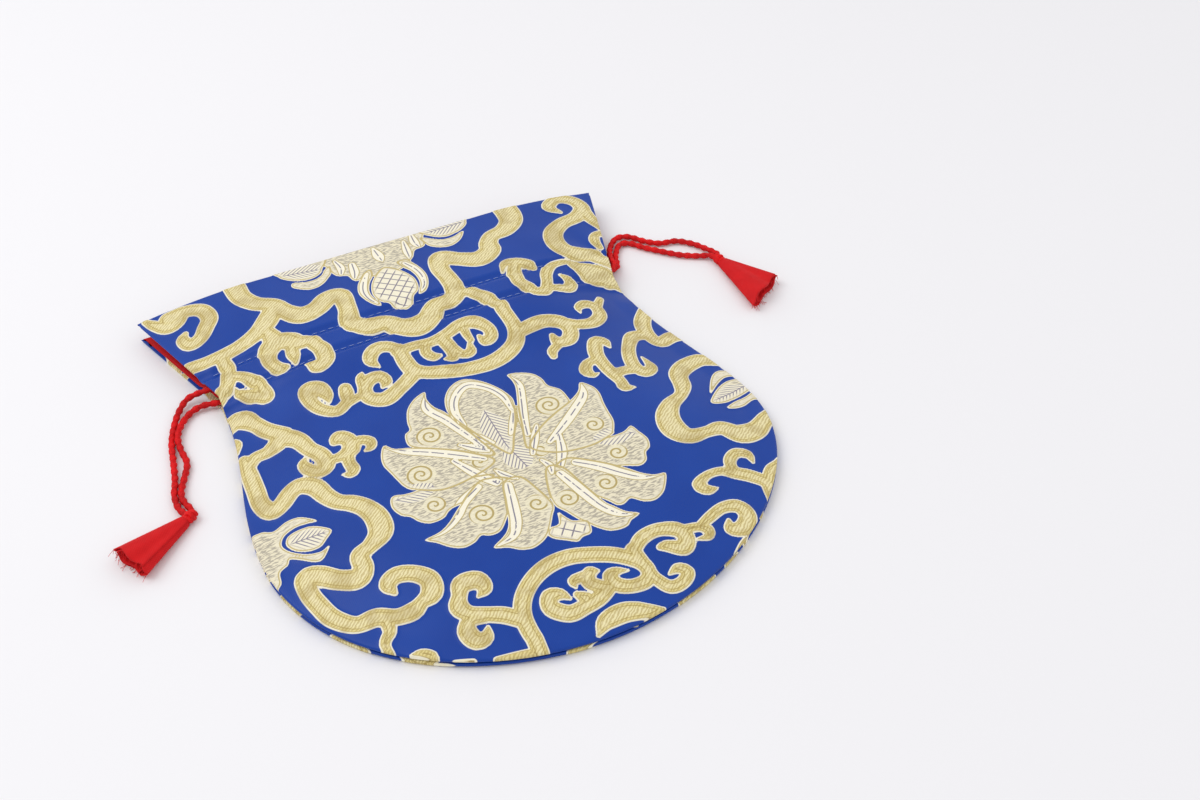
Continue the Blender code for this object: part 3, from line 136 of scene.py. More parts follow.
def side_line(step):
    """Points up the right side, from the bottom to the mouth, about a step apart."""
    turns = np.linspace(0.0, 0.5 * np.pi, 1 + int(round(0.5 * np.pi * OVAL_HEIGHT / step)))
    rise = np.linspace(WIDEST_Y, HEIGHT, 1 + int(round((HEIGHT - WIDEST_Y) / step)))
    y = np.append(WIDEST_Y - OVAL_HEIGHT * np.cos(turns), rise[1:])
    return np.stack([half_width(y), y], 1)


def line_distance(x, y, line):
    """Distance of each point from a line of short straight pieces."""
    nearest = np.full(np.shape(x), 1e9)
    for (ax, ay), (bx, by) in zip(line, line[1:]):
        dx, dy = bx - ax, by - ay
        t = np.clip(((x - ax) * dx + (y - ay) * dy) / (dx * dx + dy * dy), 0.0, 1.0)
        nearest = np.minimum(nearest, np.hypot(x - ax - t * dx, y - ay - t * dy))
    return nearest


beyond = HEIGHT + FAR_OUTLINE
right_side = np.vstack([side_line(OUTLINE_STEP), [(float(half_width(beyond)), beyond)]])
side_seams = np.vstack([right_side[:0:-1] * (-1.0, 1.0), right_side])


def seam_dip(y):
    """How far the stitches pull a cloth in along the casing's two seams."""
    dip = np.zeros(np.shape(y))
    for row in SEAM_ROWS:
        dip = np.maximum(dip, 1.0 - smoothstep(DIP_FLAT, DIP_HALF, np.abs(y - row)))
    return SEAM_DIP * dip


def soft_waves(x, y):
    """Slack of the cloth: small puckers where the casing ends, and long low waves."""
    across = np.sin(x / WAVE_ACROSS[0] + y / WAVE_ACROSS[1])
    waves = WAVE_HEIGHT * across * np.sin(y / WAVE_ALONG[0] - x / WAVE_ALONG[1] + WAVE_SHIFT)
    for side in (-1.0, 1.0):
        dx, dy = side * HALF_NECK - x, y - CASING_Y
        folds = np.sin(PUCKER_FOLDS * np.arctan2(dy, side * dx + PUCKER_CENTRE) + side)
        waves = waves + PUCKER_HEIGHT * folds * np.exp(-np.hypot(dx, dy) / PUCKER_REACH)
    return waves


def front_level(x, y, slack=True):
    """Underside of the front cloth before the stitches pull it in."""
    rim = CLOTH + TURNED_EXTRA + LAYER_GAP
    rim = rim + SIDE_LIFT * smoothstep(NECK_Y + SIDE_LIFT_RUN[0], NECK_Y + SIDE_LIFT_RUN[1], y)
    rim = rim + CORNER_LIFT * smoothstep(NECK_Y, HEIGHT, y)
    linings = CLOTH + 2.0 * (LAYER_GAP + LINING)
    body = linings + BODY_ROOM
    neck = CLOTH + 2.0 * (CORD_ROOM + LINING) + NECK_ROOM
    mouth = linings + MOUTH_ROOM
    crown = body + (neck - body) * smoothstep(SWELL_START, SWELL_END, y)
    crown = crown + (mouth - neck) * smoothstep(CASING_Y + CASING_WIDTH, HEIGHT, y)
    inside = line_distance(np.asarray(x, float), np.asarray(y, float), side_seams)
    climb = np.sin(0.5 * np.pi * np.clip(inside / ROLL, 0.0, 1.0))
    level = rim + (crown - rim) * climb
    if slack:
        level = level + soft_waves(x, y) * smoothstep(0.0, SLACK_EDGE, inside)
    return level


def smooth_route(points, step, closed=False):
    """Points at most a step apart on a smooth curve through the given ones."""
    points = np.array(points, float)
    count, out = len(points), []
    for i in range(count if closed else count - 1):
        b, c = points[i], points[(i + 1) % count]
        a = points[i - 1] if closed or i else 2.0 * b - c
        d = points[(i + 2) % count] if closed or i + 2 < count else 2.0 * c - b
        pieces = max(1, int(np.ceil(np.linalg.norm((c - b)[:2]) / step)))
        for t in np.arange(pieces) / pieces:
            bend = (2.0 * a - 5.0 * b + 4.0 * c - d) * t * t + (3.0 * b - a - 3.0 * c + d) * t ** 3
            out.append(0.5 * (2.0 * b + (c - a) * t + bend))
    if not closed:
        out.append(points[-1])
    return np.array(out)


def metres(points):
    """Points in millimetres from the bottom, turned to the frame's metres."""
    return [Vector((x, y - HEIGHT / 2, z)) * MM for x, y, z in points]


def channel(row, front, start, end):
    """A cord's way through one casing, from side to side."""
    xs = np.linspace(start, end, 1 + int(round(abs(end - start) / CHANNEL_STEP)))
    depth = CORD_CLEARANCE + CORD / 2
    level = np.full(len(xs), CLOTH + depth)
    if front:
        level = front_level(xs, np.full(len(xs), row)) - depth
    return [(x, row, z) for x, z in zip(xs, level)]


def cord_turn(side, front_row, back_row):
    """The far bend of a cord, from the front casing down into the back one."""
    edge = float(half_width(CASING_Y))
    high = channel(front_row, True, side * (edge - FAR_BEND_TOP), side * (edge - FAR_BEND_TOP + 0.1))[0][2]
    low = CLOTH + CORD_CLEARANCE + CORD / 2
    bend = []
    for part, out in FAR_BEND:
        y = front_row + part * (back_row - front_row)
        bend.append((side * (edge - out), y, high + part * (low - high)))
    return bend


def hex_colour(code):
    """An sRGB hex colour as linear light."""
    channels = [int(code[i:i + 2], 16) / 255.0 for i in (1, 3, 5)]
    return (*[c / 12.92 if c <= 0.04045 else ((c + 0.055) / 1.055) ** 2.4 for c in channels], 1.0)


def add(tree, kind, sockets, **settings):
    """Add one node with its settings; a socket takes a value or another node's output."""
    node = tree.nodes.new("ShaderNode" + kind)
    for name, value in settings.items():
        setattr(node, name, value)
    for key, value in sockets.items():
        if isinstance(value, bpy.types.NodeSocket):
            tree.links.new(value, node.inputs[key])
        else:
            node.inputs[key].default_value = value
    return node


def new_material(name, roughness, sheen, sheen_tint):
    """A cloth-like surface to build on, with its node tree and its shader."""
    material = bpy.data.materials.new(name)
    material.use_nodes = True
    shader = material.node_tree.nodes["Principled BSDF"]
    shader.inputs["Roughness"].default_value = roughness
    shader.inputs["Specular IOR Level"].default_value = 0.22
    shader.inputs["Sheen Weight"].default_value = sheen
    shader.inputs["Sheen Roughness"].default_value = 0.45
    shader.inputs["Sheen Tint"].default_value = hex_colour(sheen_tint)
    return material, material.node_tree, shader


def twisted_yarn():
    """Soft red rayon cord: dull, with fine fibres and painted shade in the dips between them."""
    material, tree, shader = new_material("twisted red rayon cord", 0.62, 0.06, "#ff5a4c")
    place = add(tree, "TexCoord", {}).outputs["Object"]
    fibres = add(tree, "TexNoise", {"Vector": place, "Scale": 1500.0, "Detail": 3.0})
    blotches = add(tree, "TexNoise", {"Vector": place, "Scale": 160.0, "Detail": 2.0})
    share = add(tree, "Mix", {0: 0.5, 2: fibres.outputs["Fac"], 3: blotches.outputs["Fac"]},
                data_type="FLOAT").outputs[0]
    # Painted shade: the red darkens towards #a00308 where the fibre noise lowers the bump; the blotches
    # only vary its tone.
    ramp = add(tree, "ValToRGB", {"Fac": share})
    for stop, (spot, code) in zip(ramp.color_ramp.elements, ((0.3, "#a00308"), (0.64, "#ea1116"))):
        stop.position = spot
        stop.color = hex_colour(code)
    tree.links.new(ramp.outputs["Color"], shader.inputs["Base Color"])
    bump = add(tree, "Bump", {"Height": fibres.outputs["Fac"], "Strength": 0.5, "Distance": 0.0003})
    tree.links.new(bump.outputs["Normal"], shader.inputs["Normal"])
    return material


def ply_profile():
    """Section of two plies lying together, as a closed curve that is swept along the cord."""
    profile = bpy.data.curves.new("cord_section", "CURVE")
    spline = profile.splines.new("POLY")
    turns = np.arange(PLY_POINTS) * 2.0 * np.pi / PLY_POINTS
    spline.points.add(len(turns) - 1)
    for point, turn in zip(spline.points, turns):
        reach = CORD / 2 * (PLY_WAIST + PLY_SWELL * math.cos(2.0 * turn)) * MM
        point.co = (reach * math.cos(turn), reach * math.sin(turn), 0.0, 1.0)
    spline.use_cyclic_u = True
    section = bpy.data.objects.new("cord_section", profile)
    section.hide_render = True
    section.hide_viewport = True
    bpy.context.scene.collection.objects.link(section)
    return section


cord_section = ply_profile()
cord_yarn = twisted_yarn()


def twisted_cord(name, route, width=1.0):
    """A curve along the route whose two-ply section turns once for each lay."""
    curve = bpy.data.curves.new(name, "CURVE")
    curve.dimensions = "3D"
    curve.bevel_mode = "OBJECT"
    curve.bevel_object = cord_section
    curve.use_fill_caps = True
    curve.twist_mode = "MINIMUM"
    spline = curve.splines.new("POLY")
    spline.points.add(len(route) - 1)
    run, last = 0.0, None
    for point, spot in zip(spline.points, metres(route)):
        run += (spot - last).length / MM if last is not None else 0.0
        point.co = (*spot, 1.0)
        point.tilt = math.fmod(2.0 * math.pi * run / CORD_LAY, 2.0 * math.pi)
        point.radius = width
        last = spot
    spline.use_smooth = True
    curve.materials.append(cord_yarn)
    cord = bpy.data.objects.new(name, curve)
    bpy.context.scene.collection.objects.link(cord)
    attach(cord, "root")
    return cord, run


def drawcord_route(side, rows, upper, lower):
    """Knot, front casing, far bend, back casing and back to the knot."""
    ends = [float(half_width(row)) for row in rows]
    far = float(half_width(CASING_Y)) - CHANNEL_FAR_END
    front = channel(rows[0], True, side * (ends[0] - CHANNEL_MOUTH), -side * far)
    back = channel(rows[1], False, -side * far, side * (ends[1] - CHANNEL_MOUTH))
    route = upper[::-1] + front + cord_turn(-side, *rows) + back + lower
    return smooth_route(route, CORD_POINT_STEP)


LEFT_UPPER = [(-83.2, 159.8, 2.6), (-87.8, 156.0, 1.7), (-91.6, 149.4, 1.4), (-94.6, 141.6, 1.3),
              (-96.4, 132.9, 1.3), (-98.2, 124.3, 1.3), (-100.2, 117.6, 1.3), (-100.6, 111.8, 1.5),
              (-99.8, 108.3, 1.9), (-99.0, 106.4, 2.0)]
LEFT_LOWER = [(-80.2, 154.4, 1.9), (-84.6, 153.4, 1.5), (-89.0, 149.0, 1.7), (-92.0, 143.2, 1.9),
              (-92.7, 137.2, 1.4), (-92.6, 130.2, 1.3), (-95.4, 123.6, 1.3), (-97.9, 117.8, 1.7),
              (-98.3, 113.2, 1.7), (-97.2, 108.6, 1.9), (-97.9, 106.6, 2.0)]
RIGHT_UPPER = [(79.2, 157.9, 4.4), (80.6, 163.4, 3.2), (84.0, 170.4, 2.2), (89.4, 175.6, 1.5),
               (94.4, 174.6, 1.3), (98.6, 169.2, 1.3), (103.2, 165.4, 1.3), (109.4, 163.9, 1.3),
               (114.2, 159.5, 1.3), (117.2, 154.0, 1.5), (118.9, 149.3, 1.9), (118.4, 146.6, 2.0)]
RIGHT_LOWER = [(80.9, 158.8, 2.0), (83.8, 165.4, 1.7), (88.6, 171.4, 1.4), (92.8, 170.6, 1.3),
               (96.6, 165.6, 1.3), (101.2, 160.6, 1.3), (106.2, 155.6, 1.3), (111.0, 152.4, 1.3),
               (114.6, 150.4, 1.5), (116.2, 149.1, 1.9), (117.0, 146.4, 2.0)]
upper_run, lower_run = CASING_Y + CORD_SPACING / 2, CASING_Y - CORD_SPACING / 2
left_route = drawcord_route(-1.0, (upper_run, lower_run), LEFT_UPPER, LEFT_LOWER)
right_route = drawcord_route(1.0, (lower_run, upper_run), RIGHT_UPPER, RIGHT_LOWER)
left_cord, left_length = twisted_cord("drawcord_left_twisted", left_route)
right_cord, right_length = twisted_cord("drawcord_right_twisted", right_route)
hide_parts("drawcord_left")
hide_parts("drawcord_right")
print("cord lengths in mm", round(left_length, 1), round(right_length, 1))

# Front cloth. It is blue satin brocade with a figure of gold scrolls and a pale lotus woven into
# it, cut to the pouch's outline, with its edge turned in and rolled over along the seam.

# The figure's gold ribbons, as (x, y, width) along their middle, and its pale petals, as (x, y)
# round their edge.
RIBBONS = {
    "corner_curl": [(-76.3, 187, 2.5), (-78.2, 184, 5), (-76.5, 180.6, 6), (-72, 182.5, 6),
        (-68.5, 187, 6.5), (-65.8, 191.5, 6.5), (-67.2, 197, 6.5), (-73, 199, 6.5), (-79, 197.5, 8)],
    "corner_lobe": [(-87.5, 200, 3), (-85, 196.5, 5), (-81, 193.5, 7), (-77, 194.5, 6), (-74, 198, 5)],
    "band": [(-52.5, 204, 8.5), (-52, 197, 8), (-48.5, 191.3, 7.5), (-43, 187.5, 7.5), (-40.2, 182, 8),
        (-36, 177.5, 9.5), (-30, 178.3, 8.5), (-24.5, 182, 8.5), (-20, 181.5, 8), (-20.2, 173.5, 7),
        (-21.5, 166.5, 8.5), (-18.5, 161, 9.5), (-11, 159.8, 8), (-7, 155.5, 9), (-2, 153.3, 10.5),
        (3.5, 155.5, 9), (8, 160.3, 8), (14, 161, 8.5), (18, 165.5, 8), (18.4, 173, 7.3),
        (18, 180.5, 7.5), (20.8, 186, 8.8), (26.5, 182.5, 8.5), (33, 179.3, 9.5), (38.7, 182, 8.5),
        (40, 186.3, 7.5), (43, 190, 7), (48.5, 191.2, 8), (53, 195, 9), (54.5, 200, 10), (54.5, 208, 10)],
    "branch_left": [(-43, 187.5, 6), (-47, 181, 8.5), (-52.5, 176, 7.5), (-60, 172.2, 6.5),
        (-68, 169.8, 6), (-75, 168.8, 6), (-83, 168.3, 6)],
    "left_stem": [(-68.7, 168, 5.5), (-68.8, 162, 5.6), (-70, 157, 6), (-72.6, 152.6, 5.6),
        (-78, 147, 5)],
    "left_curl": [(-70.5, 149.8, 1.2), (-70.2, 147.2, 3.6), (-67.6, 144.6, 5.2), (-64.4, 143.8, 5.4),
        (-61.6, 142.4, 5.6), (-61.4, 147.5, 5), (-61.8, 151.5, 5.2), (-64.5, 155.6, 5.2), (-68, 158, 4)],
    "hook_stem": [(-49.6, 176, 5), (-48.8, 170, 8)],
    "hook": [(-48.8, 154.9, 2), (-52.3, 155.2, 5.3), (-53.9, 159.5, 5.6), (-52.8, 164.5, 7.8),
        (-47.8, 167.8, 8.5), (-42.3, 165.3, 8.5), (-37.5, 161.3, 6.5), (-35.2, 156, 6.8),
        (-36.8, 150.5, 6.8), (-40.3, 149, 6.2), (-42.3, 152.6, 2.5)],
    "hook_bud": [(-45.8, 155.3, 1.8), (-45.3, 158.6, 5), (-45, 163, 5)],
    "comma": [(-42.9, 130.9, 2), (-42.4, 134.5, 4.8), (-43.7, 138.6, 6.6), (-47.3, 139.5, 6.8),
        (-48.5, 134.3, 5.6), (-46.8, 128.5, 5), (-42.3, 125, 5), (-37.8, 127.3, 4.5),
        (-33.3, 128.3, 3.6)],
    "comma_leaf": [(-37.3, 127.8, 4), (-36.3, 131.5, 5.4), (-35.6, 134.6, 4.8)],
    "scroll": [(-24.3, 129.3, 1.8), (-22.2, 131.6, 4.6), (-23.2, 135, 5.2), (-27, 134.7, 5.5),
        (-30, 131, 5.2), (-30.3, 126, 6), (-26, 123, 7), (-19.8, 126, 6), (-14.5, 129.5, 6),
        (-11, 132, 6)],
    "scroll_tip": [(-27.6, 139.5, 1), (-29, 136.8, 4), (-29.8, 132.5, 4.5)],
    "loop": [(-12, 145, 5.5), (-12.4, 138.5, 6.3), (-11.8, 133, 6.5), (-8.5, 129.7, 6), (-3, 127.3, 6.5),
        (4, 125, 6.6), (12, 124.2, 7), (19, 126, 7), (25, 130.3, 6.5), (28.3, 136.8, 6), (28.9, 144, 5.6),
        (28.2, 151.5, 6), (25.7, 158, 6.3), (20.5, 162.8, 6)],
    "loop_top": [(-21.2, 139.6, 1.2), (-22.8, 144, 5), (-20, 148, 5.8), (-15.2, 148, 5.4),
        (-12, 144.8, 5)],
    "loop_bar": [(-13, 144, 5), (-7, 144.4, 4.4), (0, 143.8, 4.6), (6.5, 145.5, 5), (12, 147.6, 5.6),
        (17, 146.8, 6.5), (20, 142, 5.2), (19.3, 137.5, 5), (16.4, 136, 4.6), (15.5, 139.3, 2)],
    "loop_lobe_a": [(0.2, 133.4, 1.5), (3.2, 133.2, 4.2), (4.2, 138, 5.6), (3.4, 144, 5.6)],
    "loop_lobe_b": [(11, 137.2, 2), (9.6, 133.2, 4.2), (6.6, 133, 4), (4.8, 137.5, 4.5)],
    "loop_post": [(12, 138.8, 3), (12, 142.5, 3.6), (12.5, 147, 4)],
    "loop_curl": [(-0.3, 136, 1.5), (-3, 136.4, 4.2), (-4.3, 139.5, 4.4), (-3, 143, 4)],
    "edge_arm": [(-80, 135, 8), (-74, 135.3, 8.6), (-70.3, 130.8, 6.2), (-67.6, 126.5, 6.4),
        (-63, 122, 7)],
    "edge_arch": [(-79, 112.5, 5.5), (-75.2, 116, 5.5), (-70.8, 116.6, 5.8), (-67, 118.3, 7.2),
        (-63.3, 120.3, 8), (-59.2, 117.5, 6.8), (-57, 112, 6), (-54.4, 107.7, 6.2), (-54, 103, 6.2),
        (-56.5, 100.8, 5.6), (-60, 102.8, 5.2), (-61.2, 106.3, 4), (-59.5, 108.5, 1.5)],
    "edge_spot": [(-79.8, 129, 1.5), (-78.4, 125, 3), (-79.8, 121, 1.5)],
    "trefoil_a": [(-52.5, 104.2, 4), (-48.5, 104, 5), (-44.6, 105.6, 6.5), (-43.8, 109.8, 6),
        (-46.2, 112.5, 6.4), (-48, 111.3, 4)],
    "trefoil_b": [(-44, 107.5, 5), (-40.6, 108.2, 4.6), (-37.9, 106.3, 4.4), (-38.4, 103.6, 3.4),
        (-40.8, 102.8, 1.2)],
    "trefoil_c": [(-46.5, 104, 5), (-47.2, 100, 4.4), (-47, 96.7, 4.6), (-48.6, 95.2, 3.4),
        (-51, 96.3, 1)],
    "side_band_left": [(-79, 116.5, 4.5), (-79.2, 110, 6), (-79.5, 102, 6.3), (-79.8, 95, 6.4),
        (-77.6, 91, 7.4), (-73.5, 92.5, 7), (-69, 96.3, 7), (-65, 97.6, 7.2), (-61, 95, 7),
        (-59, 89.8, 6.4), (-56.5, 85.8, 6.2), (-52.5, 83, 6.8), (-49.3, 79, 7.2), (-47.8, 73.5, 8),
        (-49, 67.5, 8), (-54, 63.7, 6), (-58.3, 61.5, 6.2), (-59.3, 56, 6.6), (-62.5, 52.8, 7.6),
        (-68, 54.8, 7), (-73, 58.8, 7.4), (-77, 59.3, 7.4), (-78.3, 53.5, 6.3), (-77.3, 47, 6.3),
        (-75.3, 40.5, 6.4), (-70.5, 35.5, 6), (-64, 35.2, 6.3), (-58.5, 32.7, 5.6), (-53, 32.9, 6.2),
        (-49, 35.3, 5), (-45, 37.5, 7), (-43.4, 42.8, 6.6), (-46.5, 47.2, 6), (-51.5, 48.9, 6.2),
        (-55.3, 46.5, 5.6), (-54.8, 42.2, 2)],
    "left_twig": [(-61.5, 33, 5), (-62.4, 28.5, 4.3), (-65.2, 25.2, 3.6), (-64.5, 21, 2.2)],
    "left_spot": [(-60, 18.7, 0.8), (-57, 17.7, 3), (-54.5, 15.6, 3.2), (-53.8, 13.4, 1.5)],
    "low_curl_a": [(-33.3, 30, 1.5), (-30.2, 32.3, 4.8), (-31, 36.3, 6.5), (-35.5, 36.8, 6.5),
        (-38.2, 32.8, 5), (-40.3, 28.5, 6.2), (-38.8, 24.6, 5.3), (-34.5, 22, 5.2), (-30, 19.3, 5.6),
        (-26.2, 15, 5.5)],
    "low_curl_b": [(-36.3, 17, 1.5), (-38.3, 13.9, 4.6), (-41.4, 13.8, 6), (-42.4, 18.3, 6),
        (-39.8, 21.8, 4.6), (-35, 21.5, 4.5)],
    "low_loop": [(-26.5, -4, 5), (-26.3, 6, 5.5), (-25.7, 15, 5.6), (-22.5, 22.5, 5.6), (-17, 28.3, 5.6),
        (-10, 31.9, 5.8), (-2.5, 32.7, 5.8), (5, 30.7, 5.8), (11.5, 27.5, 5.8), (16.2, 22.5, 5.6),
        (16.8, 17.5, 5.2), (14, 13.9, 5), (9, 13.6, 4.8), (5.3, 16, 5.4), (5.2, 20, 5), (8, 21.3, 3.2),
        (11.4, 20.3, 1)],
    "low_swirl": [(-10, 16.6, 1.5), (-11.8, 19.5, 4), (-15, 19.8, 5.6), (-16.6, 15.3, 5.8),
        (-13, 10.8, 5.6), (-7.5, 11.3, 5.2), (-2, 13, 5.4), (3, 15.8, 4.5)],
    "low_bud": [(-7.4, 17, 2.6), (-5.8, 14.3, 5)],
    "low_crest": [(2.9, 23.8, 1.5), (0.3, 24, 4.4), (-1.8, 20.8, 5), (0, 17.5, 5), (3.5, 15.5, 4)],
    "low_crest_tip": [(-6.3, 20, 1.2), (-5.8, 22.8, 3.6), (-2.5, 23.3, 4)],
    "low_stem": [(17, 28, 5), (17, 20, 5), (17.2, 13.8, 4.6), (19.8, 9, 5), (24.5, 9.5, 4.6),
        (27.5, 12.7, 4.8), (25.5, 15, 3.8), (22, 13.9, 1.2)],
    "low_wave": [(17, 27.5, 4.5), (22, 31.6, 5), (28, 32.9, 5), (33.6, 30.5, 6), (34.5, 26, 6),
        (31.5, 22.8, 6), (27.3, 25.3, 4.4), (25, 25.7, 2.4)],
    "low_link": [(35, 29.6, 4), (40, 28.6, 3.6), (42.2, 26, 4.4), (40.8, 23.4, 3), (37, 24, 1)],
    "low_end": [(41, 28.6, 3.4), (45.5, 30.5, 4), (51, 32, 4.3), (55.6, 30, 5.6), (56.2, 25, 6),
        (52.5, 21.2, 6.6), (48.9, 22.6, 5), (50, 26.4, 1.6)],
    "low_edge": [(-8.8, 0.5, 1.5), (-4.5, 3.5, 6), (2, 4.6, 7), (8, 3, 5.6), (14, 2.2, 1.5)],
    "low_edge_right": [(45, 13, 2), (51, 16.5, 3), (58, 18.6, 1.5)],
    "seam_patch_a": [(-50, 10.5, 3), (-45, 8.3, 3)],
    "seam_patch_b": [(-38.5, 6, 2.5), (-30, 4, 3), (-27, 3, 3)],
    "vine_curl_a": [(54, 40.2, 1), (50.6, 41.3, 4.4), (49.2, 44, 4.8), (53, 46.3, 3.4), (58, 46, 3.6),
        (62, 43, 5), (66, 39.5, 5.6), (69, 35, 5.4), (69, 30, 6.4), (67.5, 26, 5)],
    "vine_curl_b": [(69.8, 44.2, 1.5), (69.8, 47.8, 4), (66.5, 50, 4.2), (63, 48, 4.4), (62.6, 43.8, 4.4),
        (66, 39.8, 5)],
    "vine_leaf": [(69.5, 34, 5), (73.3, 38.3, 5), (78, 41, 3.6), (86, 46.5, 3)],
    "side_band_right": [(91, 61.5, 7), (83, 58, 6.5), (77.5, 55.4, 8), (72, 56.3, 8.6), (67.8, 60.9, 6.8),
        (62.5, 61.8, 5), (56.5, 62.8, 7), (53.3, 67, 9.4), (53.8, 72.7, 8.5), (57.5, 77.3, 6.4),
        (63, 80, 4.8), (65.8, 84, 6.5), (67.5, 89.5, 7), (72.5, 92.6, 7.5), (78, 92.9, 7), (83, 90, 6),
        (89, 86, 5)],
    "right_trunk": [(79, 130, 5), (73.5, 124.6, 6), (69.5, 119, 6.5), (68.7, 112.5, 6), (70.5, 107.8, 6),
        (76, 108.3, 6.4), (84, 107, 6)],
    "right_ribbon": [(68.5, 113.5, 6), (63.3, 114.6, 6), (59.7, 111, 5.2), (57, 105.8, 5.4),
        (55.9, 100, 5.6), (57.6, 95.6, 5.6), (61, 97, 4.4), (60.6, 103.4, 1)],
    "right_sliver": [(76, 135, 2), (76, 128, 4)],
    "twig": [(53, 112.6, 1.2), (52.6, 116.3, 4.4), (50, 117.6, 5.6), (47.2, 112, 5.8), (46.8, 106, 5.4),
        (47.3, 100.5, 5.4), (48, 95, 4.5), (47.9, 91.7, 4.4), (51, 90.2, 1)],
    "twig_left": [(46.5, 109, 4.2), (42.2, 108.4, 4.4), (40, 105.2, 4.8), (41.2, 102.2, 3),
        (43.3, 102.3, 1)],
    "twig_right": [(47.5, 99.5, 5), (52, 99.4, 4.8), (56, 98, 5)],
    "wave": [(27.5, 134.5, 5), (33, 136, 6.4), (39, 136, 6.5), (44, 132.3, 6.8), (44.8, 127, 6),
        (42, 122.8, 6), (38.3, 123.4, 5), (38, 127.6, 2.4)],
    "wave_leaf": [(38.5, 122.6, 4), (34.5, 120, 4), (33.5, 117, 2.8)],
    "wave_tail": [(45, 131.5, 5.5), (49, 128.6, 5.2), (54, 127.4, 5.5), (58, 130, 5.4), (58.6, 135, 5),
        (56, 137.8, 4.6), (52.8, 137, 3.2), (52.3, 134, 1)],
    "wave_bud": [(59, 134.5, 4), (62.4, 138.5, 3)],
    "shoulder_a": [(37.6, 168.4, 1.5), (40.3, 172, 4), (44.4, 171, 5.6), (48.2, 167.8, 5),
        (48.2, 163.4, 2)],
    "shoulder_b": [(43.6, 170.5, 5), (41, 165.5, 6), (40.2, 160.5, 5.5), (42.5, 155, 5.5),
        (45.8, 150.6, 6), (49, 154.5, 4.6), (51.4, 160, 4.8), (56, 163.3, 4.8), (61, 162.6, 4.6),
        (63.6, 158.3, 6), (67, 152.5, 11), (70.5, 146, 8), (75, 139.5, 6)],
    "shoulder_c": [(55.4, 156.8, 1.8), (57.4, 152.6, 4.2), (55.2, 149, 5.6), (51.4, 150.2, 5),
        (48, 153, 4)],
    "crest": [(72.9, 192.4, 2), (70.2, 197.5, 5.6), (75, 200.9, 5.4), (80.5, 197.5, 6.5),
        (81.6, 191.5, 7), (77, 187.2, 6.6), (70, 185.6, 6.6), (64.5, 181.5, 7.6), (62.6, 175, 8.2),
        (64.5, 169, 7.6), (69.3, 164.6, 8), (73, 160.2, 8), (77, 155.5, 8)],
    "crest_side": [(81.5, 191, 6.5), (81.6, 184, 6), (84, 176, 5)],
    "crest_curl": [(76.5, 166, 3), (76.6, 171, 4.6), (79.3, 174.2, 3.6), (84, 172, 5)],
}
